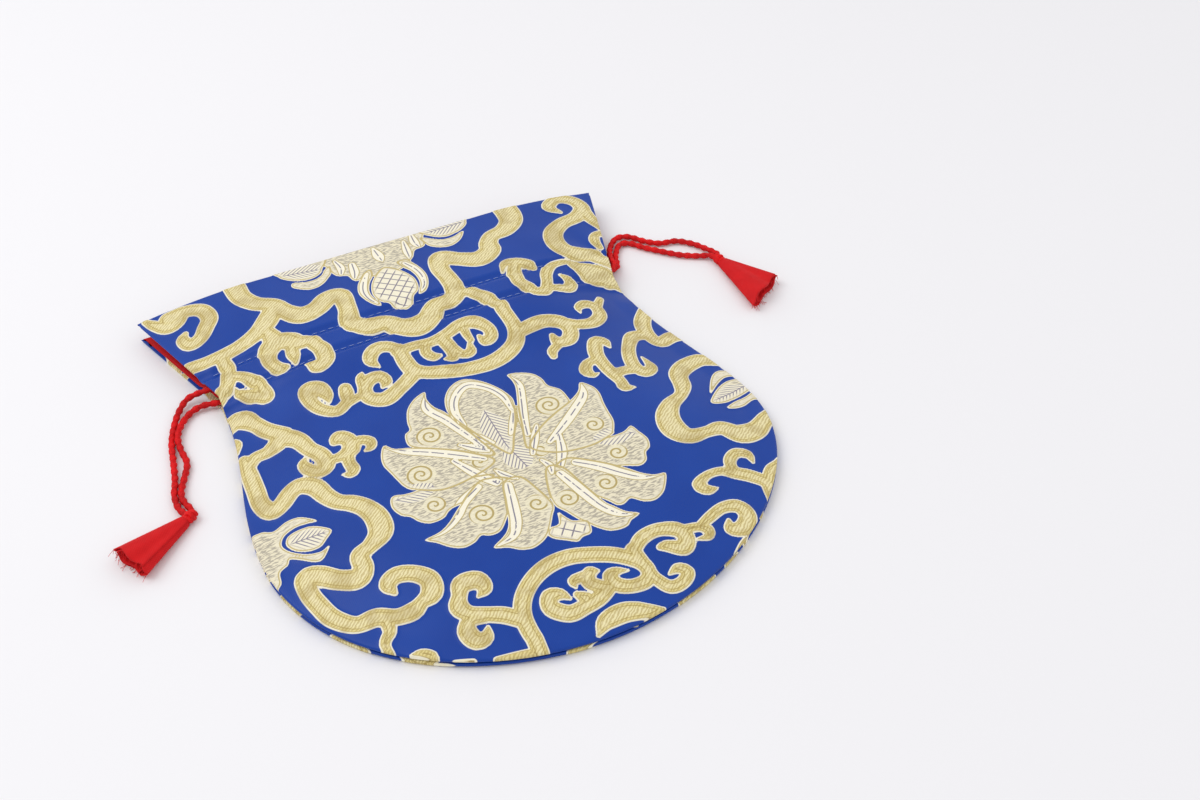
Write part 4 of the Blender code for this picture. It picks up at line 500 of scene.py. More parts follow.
PETALS = {
    "core": [(-16, 90), (-7, 103), (2, 105), (11, 101), (20, 88), (20, 74), (12, 62), (4.5, 57), (-3, 60),
        (-13, 68), (-18, 78)],
    "upper_left": [(-13, 120.3), (-17.5, 118.6), (-21.5, 114.6), (-23.8, 109), (-24.5, 105), (-26.5, 104),
        (-27.6, 100), (-26.6, 97), (-20, 92), (-12, 86), (-4, 82), (-6, 92), (-8.5, 100), (-10.5, 107.5),
        (-13, 112), (-13.8, 116.5)],
    "upper_right": [(15.3, 116), (19.5, 115), (23.3, 112.3), (25, 108.5), (25.3, 104.6), (28, 101),
        (28.6, 97), (27.8, 92.8), (21, 88), (13, 83), (6, 80), (9, 91), (11.5, 99), (14, 105.5),
        (15.3, 109.5), (15.5, 113)],
    "left": [(-34.5, 102.3), (-37, 98.5), (-38, 94), (-37.3, 90), (-36.5, 86), (-35.5, 82), (-33, 79),
        (-25, 75), (-14, 76), (-5, 80), (-12, 88), (-20, 93.5), (-27, 97.3), (-32, 99.3)],
    "right": [(35.5, 101), (38.5, 97), (39, 93), (38, 88), (37.5, 84), (37, 79), (35, 75), (33.5, 73.5),
        (25, 72), (14, 74), (7, 80), (13, 86.5), (21, 91), (28, 94), (33, 97.3)],
    "side_left": [(-40.5, 79.8), (-42.3, 75.5), (-41, 71), (-38.6, 69), (-37, 66), (-34, 63.7),
        (-29.5, 64), (-26, 66.5), (-18, 68), (-8, 74), (-17, 77), (-27, 78.6), (-35.5, 78.8)],
    "side_right": [(41, 74.8), (42.3, 71.5), (43.5, 67.5), (42.3, 64), (40.3, 63), (39, 60), (36, 58.7),
        (31.5, 60.3), (23, 63), (12, 69), (16, 73), (25, 74.5), (33, 73.3), (38, 73.5)],
    "lower_left": [(-38.3, 58.2), (-35.5, 55.5), (-32.5, 52), (-29, 50), (-25, 50.5), (-22.3, 52.2),
        (-20, 51), (-16.8, 51), (-13.8, 53.5), (-9, 60), (-4, 70), (-12, 74), (-18, 71), (-24, 66),
        (-29, 61.5), (-33, 59.2)],
    "lower_right": [(42, 53), (39.5, 48.5), (37, 46), (33.5, 44.6), (30, 45.4), (26.8, 48), (24, 46.7),
        (21.5, 47), (19.3, 50), (13, 57), (8, 66), (15, 71), (23, 66.5), (31, 60), (35, 56),
        (38.5, 53.8)],
    "bottom_left": [(-21, 46), (-17, 44), (-14, 41.5), (-10.5, 40.5), (-7, 41.5), (-4.3, 43.3), (-2, 46),
        (1, 50.5), (3.3, 54.5), (2, 62), (-1, 70), (-7, 70), (-10, 62), (-12.5, 54), (-14.5, 50.5),
        (-17, 48.5)],
    "bottom_right": [(26.5, 41.5), (22.5, 39.7), (21, 38.2), (18, 37.5), (14.5, 38), (12, 40), (10.3, 42),
        (7.8, 45.5), (5.5, 50), (3.3, 54.5), (4.5, 62), (8, 70), (13, 68), (16, 58), (18.5, 50),
        (20.5, 47), (23, 43.8)],
    "crown": [(1, 120.6), (-4, 119.2), (-8, 114.8), (-10, 108.8), (-9.6, 103.5), (-7, 96), (-4, 88),
        (0.5, 80), (5, 87), (9, 94.5), (11.8, 102.5), (11.6, 106.5), (9.8, 111.5), (6, 117.2)],
    "calyx": [(3.2, 37.5), (0, 39.4), (-3, 41.5), (-4, 43.8), (-2.2, 46), (0.8, 46.3), (2, 48.5),
        (3, 51.5), (4.2, 48.8), (5.6, 46.3), (7.7, 45.5), (10, 44.3), (9.8, 41.5), (8.5, 39.2),
        (5.5, 38.8)],
    "pod": [(-2, 162.3), (-4.5, 165.5), (-6, 169.5), (-8.3, 171.5), (-9.6, 176), (-8, 182), (-4.5, 187),
        (0, 190), (4.5, 186), (7.2, 180.5), (7.5, 176), (6.2, 171.8), (3.5, 169.5), (1.5, 165.5)],
    "bract_left": [(-9, 169.3), (-11, 171), (-13, 175), (-13.8, 179.5), (-12.5, 184), (-10.5, 187),
        (-8, 190), (-5, 191), (-5.5, 187), (-8, 183.5), (-9.8, 179), (-9.8, 175), (-8.5, 171.5)],
    "bract_right": [(5.5, 169.5), (8.5, 170.3), (11, 174), (12.3, 179), (11.8, 184), (10.3, 188.5),
        (9, 191), (5, 191), (6, 187), (7.8, 183.5), (8.5, 179), (8, 175), (6.2, 171.5)],
    "wing_left": [(-38, 209), (-36.5, 202.5), (-35, 200), (-32, 197.5), (-28, 196), (-25, 196),
        (-22, 197.5), (-20, 200.5), (-18, 203), (-17, 209)],
    "sliver_left": [(-34, 194.3), (-33.2, 196.5), (-31, 196), (-28, 194.9), (-25, 194.8), (-22, 196.3),
        (-20, 199), (-17.6, 200), (-18.2, 196), (-20.5, 193.3), (-23, 191), (-26, 189.8), (-29, 190),
        (-32, 192)],
    "wing_right": [(18, 209), (19, 204.5), (22.5, 200.8), (25, 198.7), (28, 197.7), (31, 198.1),
        (34, 199), (37, 201), (38.4, 203.5), (39, 209)],
    "sliver_right": [(19.3, 196), (21, 193.8), (24, 192), (27.5, 191.5), (31, 193), (33.5, 195.5),
        (35, 198.2), (33.5, 198), (31, 196.9), (28, 196.4), (25, 197.1), (22, 199.3), (20, 201),
        (18, 201)],
    "crest": [(-19, 209), (-18.8, 199), (-17.8, 194), (-16, 192.2), (-13.8, 191.3), (-13, 188),
        (-11.3, 186.5), (-8, 188), (-5, 186), (0, 185), (4.5, 186), (9, 188), (10.5, 190), (12, 191.5),
        (14, 195), (17, 195.5), (18.7, 196.5), (19.4, 200), (19, 209)],
    "bud_left": [(-62.3, 75.3), (-65, 78.2), (-68.5, 79.8), (-73, 79.6), (-76.5, 78.2), (-78, 75),
        (-76, 71.5), (-72, 69.8), (-68, 70.1), (-65, 72.5)],
    "cup_left": [(-65, 80.8), (-67, 83), (-70.5, 85), (-75, 84.6), (-80, 82.4), (-84, 83.6), (-90, 80),
        (-90, 60), (-85, 60), (-83.5, 65), (-80, 67), (-79, 69), (-76, 67.5), (-72, 64.8), (-69, 65),
        (-65, 69.8), (-68.5, 68.3), (-73, 69), (-77.5, 72), (-79.3, 75.5), (-77.3, 79), (-73, 81),
        (-69, 81.2)],
    "bud_right": [(70.3, 72.3), (73.5, 75.6), (78, 78.3), (82, 79), (86, 78), (87.5, 75), (86.5, 72.2),
        (83, 71), (78, 70.2), (74, 70.3)],
    "cup_right": [(72.4, 76), (75, 80.6), (78, 84), (81, 84.9), (84.5, 83.3), (87.5, 80.5), (92, 78),
        (92, 66), (85, 67.4), (80, 66.2), (76.5, 66.5), (74, 68), (78, 69.3), (83.5, 70), (88, 72.3),
        (88.5, 76), (86, 79), (82, 80.8), (78, 79.6)],
}
# Where each petal lies in the overlapping layers of the figure, from the lowest to the top one.
PETAL_LAYERS = (
    ("core", "side_right", "crest", "cup_left", "cup_right"),
    ("side_left", "lower_right", "bract_left", "bract_right"),
    ("upper_left", "upper_right", "lower_left", "bottom_right", "wing_left", "wing_right", "sliver_left",
     "sliver_right"),
    ("crown", "left", "right", "bottom_left", "pod", "calyx", "bud_left",
     "bud_right"))
LAYER_FIELDS = ("layer_a", "layer_b", "layer_c", "layer_d")
# Bright bands along the petals' folded edges, as (x, y, width), and the curls, as (x, y, radius).
BANDS = [
    [(-13.2, 119, 1), (-15.6, 112, 3), (-12, 104, 3.2), (-8.6, 95, 3), (-6, 87, 2)],
    [(15.8, 114.5, 1), (16.4, 109, 2.8), (13.8, 101, 3), (11.2, 94, 3), (9, 86, 2)],
    [(-34.4, 101, 1), (-29.5, 96.8, 2.8), (-22, 92.2, 3.2), (-14, 86.6, 3), (-8, 82, 2)],
    [(35.4, 99.8, 1), (33.5, 94.5, 2.8), (28, 89.5, 3.2), (21, 84.2, 3), (14, 79.6, 2)],
    [(-37.6, 58, 0.8), (-31.5, 59.2, 2.4), (-26, 62.8, 3.2), (-21.8, 67.4, 3.4), (-15, 71.5, 2.6)],
    [(41.6, 52.8, 0.8), (34, 54.6, 2.6), (28.6, 58.6, 3.2), (23.4, 63.6, 3.4), (17.5, 68, 2.6)],
    [(-20.4, 45.9, 0.8), (-14, 47.4, 2.4), (-11, 51.5, 3.2), (-9, 58, 3.6), (-6.2, 68, 2.8)],
    [(25.8, 41.6, 0.8), (20.6, 43.6, 2.4), (17, 48, 3.2), (14.6, 54.4, 3.6), (11, 65.5, 2.8)],
    [(-17.2, 85.4, 2), (-13, 77, 3.2), (-9, 70.4, 2.4)],
    [(17.8, 80.6, 2), (15.6, 74, 3), (12.6, 68.8, 2.2)],
    [(-7.6, 99, 1.6), (-7.8, 106.5, 2.6), (-5, 113, 2.8), (0.8, 117, 3), (6.4, 113, 2.8),
     (9.4, 106.5, 2.6), (9.3, 99, 1.6)],
    [(-12.6, 91.4, 1.6), (-9, 88, 2.8), (-5.4, 84.8, 1.6)],
    [(-8.8, 95.6, 1.4), (-5.6, 91.6, 2.6), (-2.6, 87.4, 1.6)],
    [(9.6, 98.6, 1.2), (7.2, 93.4, 2.4), (4.2, 88.6, 1.6)],
    [(13.4, 88.4, 1.4), (10.4, 83.4, 2.6), (6.8, 77.2, 1.8)],
    [(-12.6, 75, 1.6), (-10, 72.6, 2.6), (-7.4, 70.4, 1.4)],
    [(-7, 76, 1.2), (-5.2, 72.6, 2.4), (-2.2, 69.4, 1.2)],
    [(8, 73.5, 1.4), (9.4, 70, 2.4), (8.6, 66.8, 1.4)],
    [(-8.8, 170, 1), (-11.4, 174, 2.2), (-12, 179, 2.8), (-10.4, 184, 2.8), (-7.4, 189, 2)],
    [(6.2, 170, 1), (9.4, 174, 2.2), (10.4, 179, 2.8), (9.7, 184, 2.8), (7.5, 189, 2)],
    [(0.6, 193.5, 1), (0.5, 197.5, 3.6), (0.3, 203, 1.4)],
    [(-12.2, 188, 1.4), (-10.8, 192, 3), (-10, 197, 2.4)],
    [(-15.6, 193, 1.6), (-14.4, 197, 2.8), (-15, 202, 1.6)],
    [(10.4, 190.5, 1.4), (11, 195.5, 2.8), (12, 202, 1.6)],
    [(16, 196.4, 1.6), (15.6, 199.5, 3), (16, 204, 2)],
]
CURLS = [(-19.6, 99.4, 4.6), (-28.8, 84.4, 4.8), (-30, 70.3, 3.6), (-18.3, 60, 4.4), (-1.2, 57, 3.8),
         (8.4, 55, 3.8), (22.6, 56.4, 3.8), (31.7, 66.4, 3.4), (30.2, 80.2, 3.6), (21.3, 95.4, 4.8),
         (-10, 81.6, 2.8), (9.8, 77.5, 2.8), (3.4, 74.4, 2.4)]
# Veined buds, as (base, tip, half width): the veins run slantwise from the middle line.
BUDS = [((0.8, 84), (1, 103), 5), ((2.8, 72.6), (0.8, 84.6), 5), ((-27, 78), (-41, 77.5), 4),
        ((27, 74), (41.5, 71.5), 4), ((-62.8, 75.2), (-77.8, 74.8), 4.6), ((70.6, 72.4), (87, 74.8), 4.4),
        ((-19, 199.5), (-40, 203), 4.6), ((20, 203), (40, 203.5), 4.6)]
LATTICES = ("pod", "calyx")
BAND_SPREAD = 1.25
# The figure was traced as if it lay on a plane at TRACED_HEIGHT. SEEN_SLANT is how far a point has
# to move, seen from the camera, for each millimetre that the cloth lies above that plane.
TRACED_HEIGHT = 8.0
SEEN_SLANT = (0.4996, 0.9755)
TRACE_SHIFT = (0.6, -0.7)
FAR = 6.0
TRACE_STEP = 1.2
# Where the pouch seemed to lie higher when it was traced.
PILE_ACROSS = (-15.0, 45.0)
PILE_ALONG = (35.0, 85.0)
PILE_LIFT = 4.0
RISE_LIMIT = 7.0
# The cloth: how far the figure's threads stand up, the size of its faces, its edge and its hem.
FIGURE_RELIEF = 0.3
RELIEF_EDGE = 0.45
CLOTH_STEP = 0.8
INNER_STEP = 4.0
HEM = 5.0
HEM_GAP = 1.5
ROLL_TURNS = (30.0, 60.0, 90.0, 120.0, 150.0, 180.0)
CORNER_REACH = 1.5
CORNER_ROUND = (1.6, 0.6)
ROLL_OUTLINE_STEP = 0.5
# The belly's lean to the right, and where it is most.
LEAN = 2.2
LEAN_Y = 60.0
LEAN_REACH = 34.0


def turned_edge(x, y):
    """Extra thickness where the cloth is turned in along the body's seam."""
    inside = line_distance(np.asarray(x, float), np.asarray(y, float), side_seams)
    near = 1.0 - smoothstep(0.0, TURNED_WIDTH, inside)
    gone = smoothstep(NECK_Y + TURNED_RUN_OUT[0], NECK_Y + TURNED_RUN_OUT[1], y)
    return TURNED_EXTRA * near * (1.0 - gone)


def front_low(x, y):
    """The front cloth's underside, drawn in along the casing's seams."""
    return front_level(x, y) - seam_dip(y)


def front_high(x, y):
    """The front cloth's face."""
    return front_low(x, y) + CLOTH + turned_edge(x, y)


def back_low(x, y):
    """The back cloth's face, which lies on the floor."""
    return seam_dip(y)


def back_high(x, y):
    """The back cloth's upper side."""
    return seam_dip(y) + CLOTH + turned_edge(x, y)


def lay_figure(points):
    """Move the figure's points from where they were seen to where the swelling cloth has them."""
    laid = np.array(points, float)
    laid[:, 0] += TRACE_SHIFT[0]
    laid[:, 1] += TRACE_SHIFT[1]
    x, y = laid[:, 0], laid[:, 1]
    top = front_level(x, y, slack=False) - seam_dip(y) + CLOTH + turned_edge(x, y)
    pile = PILE_LIFT * smoothstep(*PILE_ACROSS, x) * (1.0 - smoothstep(*PILE_ALONG, y))
    rise = np.clip(top + pile - TRACED_HEIGHT, -RISE_LIMIT, RISE_LIMIT)
    laid[:, 0] -= rise * SEEN_SLANT[0]
    laid[:, 1] -= rise * SEEN_SLANT[1]
    return laid


def near_points(x, y, line, reach):
    """Which points lie within reach of a line's own box."""
    low, high = line[:, :2].min(0) - reach, line[:, :2].max(0) + reach
    return np.flatnonzero((x > low[0]) & (x < high[0]) & (y > low[1]) & (y < high[1]))


def ribbon_field(x, y, routes):
    """Depth inside ribbons of changing width, and the signed distance beside their middle."""
    depth, beside = np.full(len(x), -FAR), np.full(len(x), FAR)
    for route in routes:
        near = near_points(x, y, route, FAR)
        px, py = x[near], y[near]
        closest, side = np.full(len(near), -FAR), np.full(len(near), FAR)
        for (ax, ay, aw), (bx, by, bw) in zip(route, route[1:]):
            dx, dy = bx - ax, by - ay
            long = math.hypot(dx, dy)
            t = np.clip(((px - ax) * dx + (py - ay) * dy) / (long * long), 0.0, 1.0)
            here = 0.5 * (aw + t * (bw - aw)) - np.hypot(px - ax - t * dx, py - ay - t * dy)
            better = here > closest
            across = ((px - ax) * dy - (py - ay) * dx) / long
            closest, side = np.where(better, here, closest), np.where(better, across, side)
        higher = closest > depth[near]
        beside[near] = np.where(higher, side, beside[near])
        depth[near] = np.maximum(depth[near], closest)
    return depth, beside


def petal_field(x, y, edges):
    """Depth inside closed outlines, less than 0 outside them."""
    depth = np.full(len(x), -FAR)
    for edge in edges:
        ring = np.vstack([edge, edge[:1]])
        near = near_points(x, y, ring, FAR)
        px, py = x[near], y[near]
        inside = np.zeros(len(near), bool)
        for (ax, ay), (bx, by) in zip(ring, ring[1:]):
            if ay != by:
                crosses = (ay > py) != (by > py)
                inside ^= crosses & (px < ax + (py - ay) * (bx - ax) / (by - ay))
        away = line_distance(px, py, ring)
        depth[near] = np.maximum(depth[near], np.where(inside, away, -away))
    return np.maximum(depth, -FAR)


ribbon_routes = [lay_figure(smooth_route(points, TRACE_STEP)) for points in RIBBONS.values()]
petal_edges = {key: lay_figure(smooth_route(points, TRACE_STEP, True)) for key, points in PETALS.items()}
widened = (1.0, 1.0, BAND_SPREAD)
band_routes = [lay_figure(smooth_route(points, TRACE_STEP)) * widened for points in BANDS]
curl_spots = lay_figure(CURLS)
bud_ends = [(*lay_figure([base, tip]), half) for base, tip, half in BUDS]


def woven_fields(x, y):
    """All that the weave's pattern needs to know at each point, in millimetres."""
    fields = {"gold": ribbon_field(x, y, ribbon_routes)[0]}
    for field, names in zip(LAYER_FIELDS, PETAL_LAYERS):
        fields[field] = petal_field(x, y, [petal_edges[name] for name in names])
    fields["lattice"] = petal_field(x, y, [petal_edges[name] for name in LATTICES])
    fields["pale"] = np.max([fields[field] for field in LAYER_FIELDS], axis=0)
    fields["band"], fields["band_side"] = ribbon_field(x, y, band_routes)
    curl, vein = np.zeros((len(x), 3)), np.full((len(x), 3), -1.0)
    reach = np.full(len(x), 1e9)
    for cx, cy, radius in curl_spots:
        away = np.hypot(x - cx, y - cy) / radius
        closer = away < reach
        reach = np.minimum(reach, away)
        curl[closer] = np.stack([x - cx, y - cy, np.full(len(x), radius)], 1)[closer]
    for (bx, by), (tx, ty), half in bud_ends:
        long = math.hypot(tx - bx, ty - by)
        ux, uy = (tx - bx) / long, (ty - by) / long
        along, across = (x - bx) * ux + (y - by) * uy, (y - by) * ux - (x - bx) * uy
        share = np.clip(along / long, 0.0, 1.0)
        room = half * np.sin(np.pi * (0.12 + 0.84 * share)) - np.abs(across)
        room = np.minimum(room, np.minimum(along, long - along))
        inside = room > vein[:, 2]
        vein[inside] = np.stack([along, across, room], 1)[inside]
    fields["curl"], fields["vein"] = curl, vein
    return fields


def side_ring(step):
    """Points up the right side with their outward directions."""
    side = side_line(step)
    along = np.gradient(np.vstack([side[1] * (-1.0, 1.0), side]), axis=0)[1:]
    out = np.stack([along[:, 1], -along[:, 0]], 1)
    return side, out / np.linalg.norm(out, axis=1, keepdims=True)


def plan_grid(body, step, inset):
    """Lay a grid of faces out over the pouch's plan, closed to a point at the round bottom."""
    side, out = side_ring(step)
    gap = np.asarray(inset(side[:, 1]))
    ends = side - out * gap[:, None]
    ends[0, 0], ends[-1, 1] = 0.0, HEIGHT - gap[-1]
    rows, columns = len(side) - 1, int(round(2.0 * HALF_WIDEST / step))
    made = bmesh.ops.create_grid(body, x_segments=columns, y_segments=rows, size=1.0)["verts"]
    for vert in made:
        row = int(round((vert.co.y + 1.0) / 2.0 * rows))
        vert.co = (vert.co.x * ends[row, 0], ends[row, 1], 0.0)
    bottom = [vert for vert in made if abs(vert.co.y - ends[0, 1]) < 1e-4]
    bmesh.ops.remove_doubles(body, verts=bottom, dist=1e-4)
    return [vert for vert in made if vert.is_valid]


def set_heights(verts, height):
    """Lift points of the plan to a cloth's surface."""
    spots = np.array([vert.co[:2] for vert in verts])
    for vert, z in zip(verts, height(spots[:, 0], spots[:, 1])):
        vert.co.z = z


def outline_edges(verts):
    """The edges round a patch of faces."""
    edges = {edge for vert in verts for edge in vert.link_edges}
    return [edge for edge in sorted(edges, key=lambda e: e.index) if len(edge.link_faces) == 1]


def roll_edge(body, verts, outer, inner, radius, hem):
    """Roll the cloth's edge over from its outer face to its inner one, and turn in a hem."""
    base, away = body.verts.layers.float_vector["base"], body.verts.layers.float_vector["away"]
    side, out = side_ring(ROLL_OUTLINE_STEP)
    body.edges.index_update()
    edges = outline_edges(verts)
    for vert in {vert for edge in edges for vert in edge.verts}:
        x, y = abs(vert.co.x), vert.co.y
        nearest = int(np.argmin(np.hypot(side[:, 0] - x, side[:, 1] - y)))
        heading = Vector((math.copysign(out[nearest, 0], vert.co.x), out[nearest, 1], 0.0))
        if y > HEIGHT - CORNER_REACH:
            tip = half_width(HEIGHT)
            corner = float(smoothstep(tip - CORNER_ROUND[0], tip - CORNER_ROUND[1], x))
            heading = Vector((heading.x * corner, 1.0, 0.0)).normalized()
        if y < WIDEST_Y - OVAL_HEIGHT + CORNER_REACH and x < 0.1:
            heading = Vector((0.0, -1.0, 0.0))
        vert[base], vert[away] = vert.co.copy(), heading
    for turn in [math.radians(degrees) for degrees in ROLL_TURNS] + [None]:
        grown = bmesh.ops.extrude_edge_only(body, edges=edges)["geom"]
        edges = [part for part in grown if isinstance(part, bmesh.types.BMEdge) and part.is_boundary]
        rim = list({vert for edge in edges for vert in edge.verts})
        places = np.array([vert[base] for vert in rim])
        high, low = outer(places[:, 0], places[:, 1]), inner(places[:, 0], places[:, 1])
        girth = radius(places[:, 1])
        for vert, top, bottom, reach in zip(rim, high, low, girth):
            if turn is None:
                vert.co = vert[base] - vert[away] * hem
                vert.co.z = bottom
            else:
                vert.co = vert[base] + vert[away] * (float(reach) * math.sin(turn))
                vert.co.z = (top + bottom) / 2 + (top - bottom) / 2 * math.cos(turn)
    places = np.array([vert.co[:2] for vert in rim])
    for vert, z in zip(rim, inner(places[:, 0], places[:, 1])):
        vert.co.z = z
    return edges


def body_lean(y):
    """How far the belly of this pouch is sewn to the right of its middle line."""
    return LEAN * np.exp(-((y - LEAN_Y) / LEAN_REACH) ** 2)


def finish_cloth(name, body, material, fields=None):
    """Turn a cloth's bmesh into a smooth object in its place, with the weave's fields on it."""
    bmesh.ops.recalc_face_normals(body, faces=body.faces)
    spots = np.array([vert.co for vert in body.verts])
    spots[:, 0] += body_lean(spots[:, 1])
    for vert, spot in zip(body.verts, spots):
        vert.co = Vector((spot[0], spot[1] - HEIGHT / 2, spot[2])) * MM
    for face in body.faces:
        face.smooth = True
    mesh = bpy.data.meshes.new(name)
    body.to_mesh(mesh)
    body.free()
    for layer in ("base", "away"):
        if layer in mesh.attributes:
            mesh.attributes.remove(mesh.attributes[layer])
    for key, values in (fields(spots[:, 0], spots[:, 1]) if fields else {}).items():
        kind, part = ("FLOAT_VECTOR", "vector") if values.ndim == 2 else ("FLOAT", "value")
        attribute = mesh.attributes.new(key, kind, "POINT")
        attribute.data.foreach_set(part, values.astype(np.float32).ravel())
    mesh.materials.append(material)
    cloth = bpy.data.objects.new(name, mesh)
    bpy.context.scene.collection.objects.link(cloth)
    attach(cloth, "root")
    return cloth


def brocade_panel(name, outer, inner, material, mirror=1.0):
    """A brocade cloth: its fine outer face with the raised figure, its rolled edge, its back."""
    def fields(x, y):
        return woven_fields(mirror * x, y)

    def radius(y):
        return 0.5 * np.abs(inner(half_width(y), y) - outer(half_width(y), y))

    body = bmesh.new()
    for layer in ("base", "away"):
        body.verts.layers.float_vector.new(layer)
    face = plan_grid(body, CLOTH_STEP, radius)
    set_heights(face, outer)
    rim = roll_edge(body, face, outer, inner, radius, HEM)
    back = plan_grid(body, INNER_STEP, lambda y: radius(y) + HEM + HEM_GAP)
    set_heights(back, inner)
    body.edges.index_update()
    bmesh.ops.bridge_loops(body, edges=rim + outline_edges(back))
    body.verts.ensure_lookup_table()
    spots = np.array([vert.co for vert in body.verts])
    woven = fields(spots[:, 0] + body_lean(spots[:, 1]), spots[:, 1])
    lift = smoothstep(-RELIEF_EDGE, RELIEF_EDGE, np.maximum(woven["gold"], woven["pale"]))
    middle = 0.5 * (outer(spots[:, 0], spots[:, 1]) + inner(spots[:, 0], spots[:, 1]))
    facing = np.sign(outer(0.0, NECK_Y) - inner(0.0, NECK_Y))
    lift = lift * smoothstep(0.0, 0.2, facing * (spots[:, 2] - middle))
    for vert, rise in zip(body.verts, lift * FIGURE_RELIEF * facing):
        vert.co.z += rise
    cloth = finish_cloth(name, body, material, fields)
    return cloth


# A wave texture of scale 1 has 20 turns in 2 pi. Pitches are thread or line spacings.
WAVE_TURN = 2.0 * math.pi / 20.0
WARP_PITCH = 0.55
TWILL_PITCH = 0.95
TWILL_SLANT = -38.0
STROKE_LENGTH = 2.1
STROKE_PITCH = 0.55
STROKE_SLANT = -24.0
CURL_PITCH = 2.2
VEIN_PITCH = 1.7
VEIN_SLOPE = 1.1
LATTICE_PITCH = 3.1
LATTICE_SLANT = 40.0
RAMP_DEPTH = 4.0
GOLD_BANDS = ((0.0, "#f6f1dc"), (0.42, "#f1e9cb"), (0.52, "#9c854c"), (0.66, "#d6c583"),
              (1.3, "#e2d393"), (1.5, "#a48e50"), (1.75, "#e6d99e"), (2.6, "#eadfae"))
PETAL_EDGE, PETAL_OUTLINE, PETAL_RIM = (-0.08, 0.08), (0.85, 0.6), (2.2, 1.3)
SATIN_ROUGHNESS, FIGURE_ROUGHNESS = 0.36, 0.52
WEFT_LOFT = 0.35


def woven_over(tree, ground, threads):
    """Lay threads of other colours over a ground, each as far as its own mask lets it show."""
    for mask, thread in threads:
        colour = hex_colour(thread) if isinstance(thread, str) else thread
        ground = add(tree, "Mix", {0: mask, 6: ground, 7: colour}, data_type="RGBA").outputs[2]
    return ground


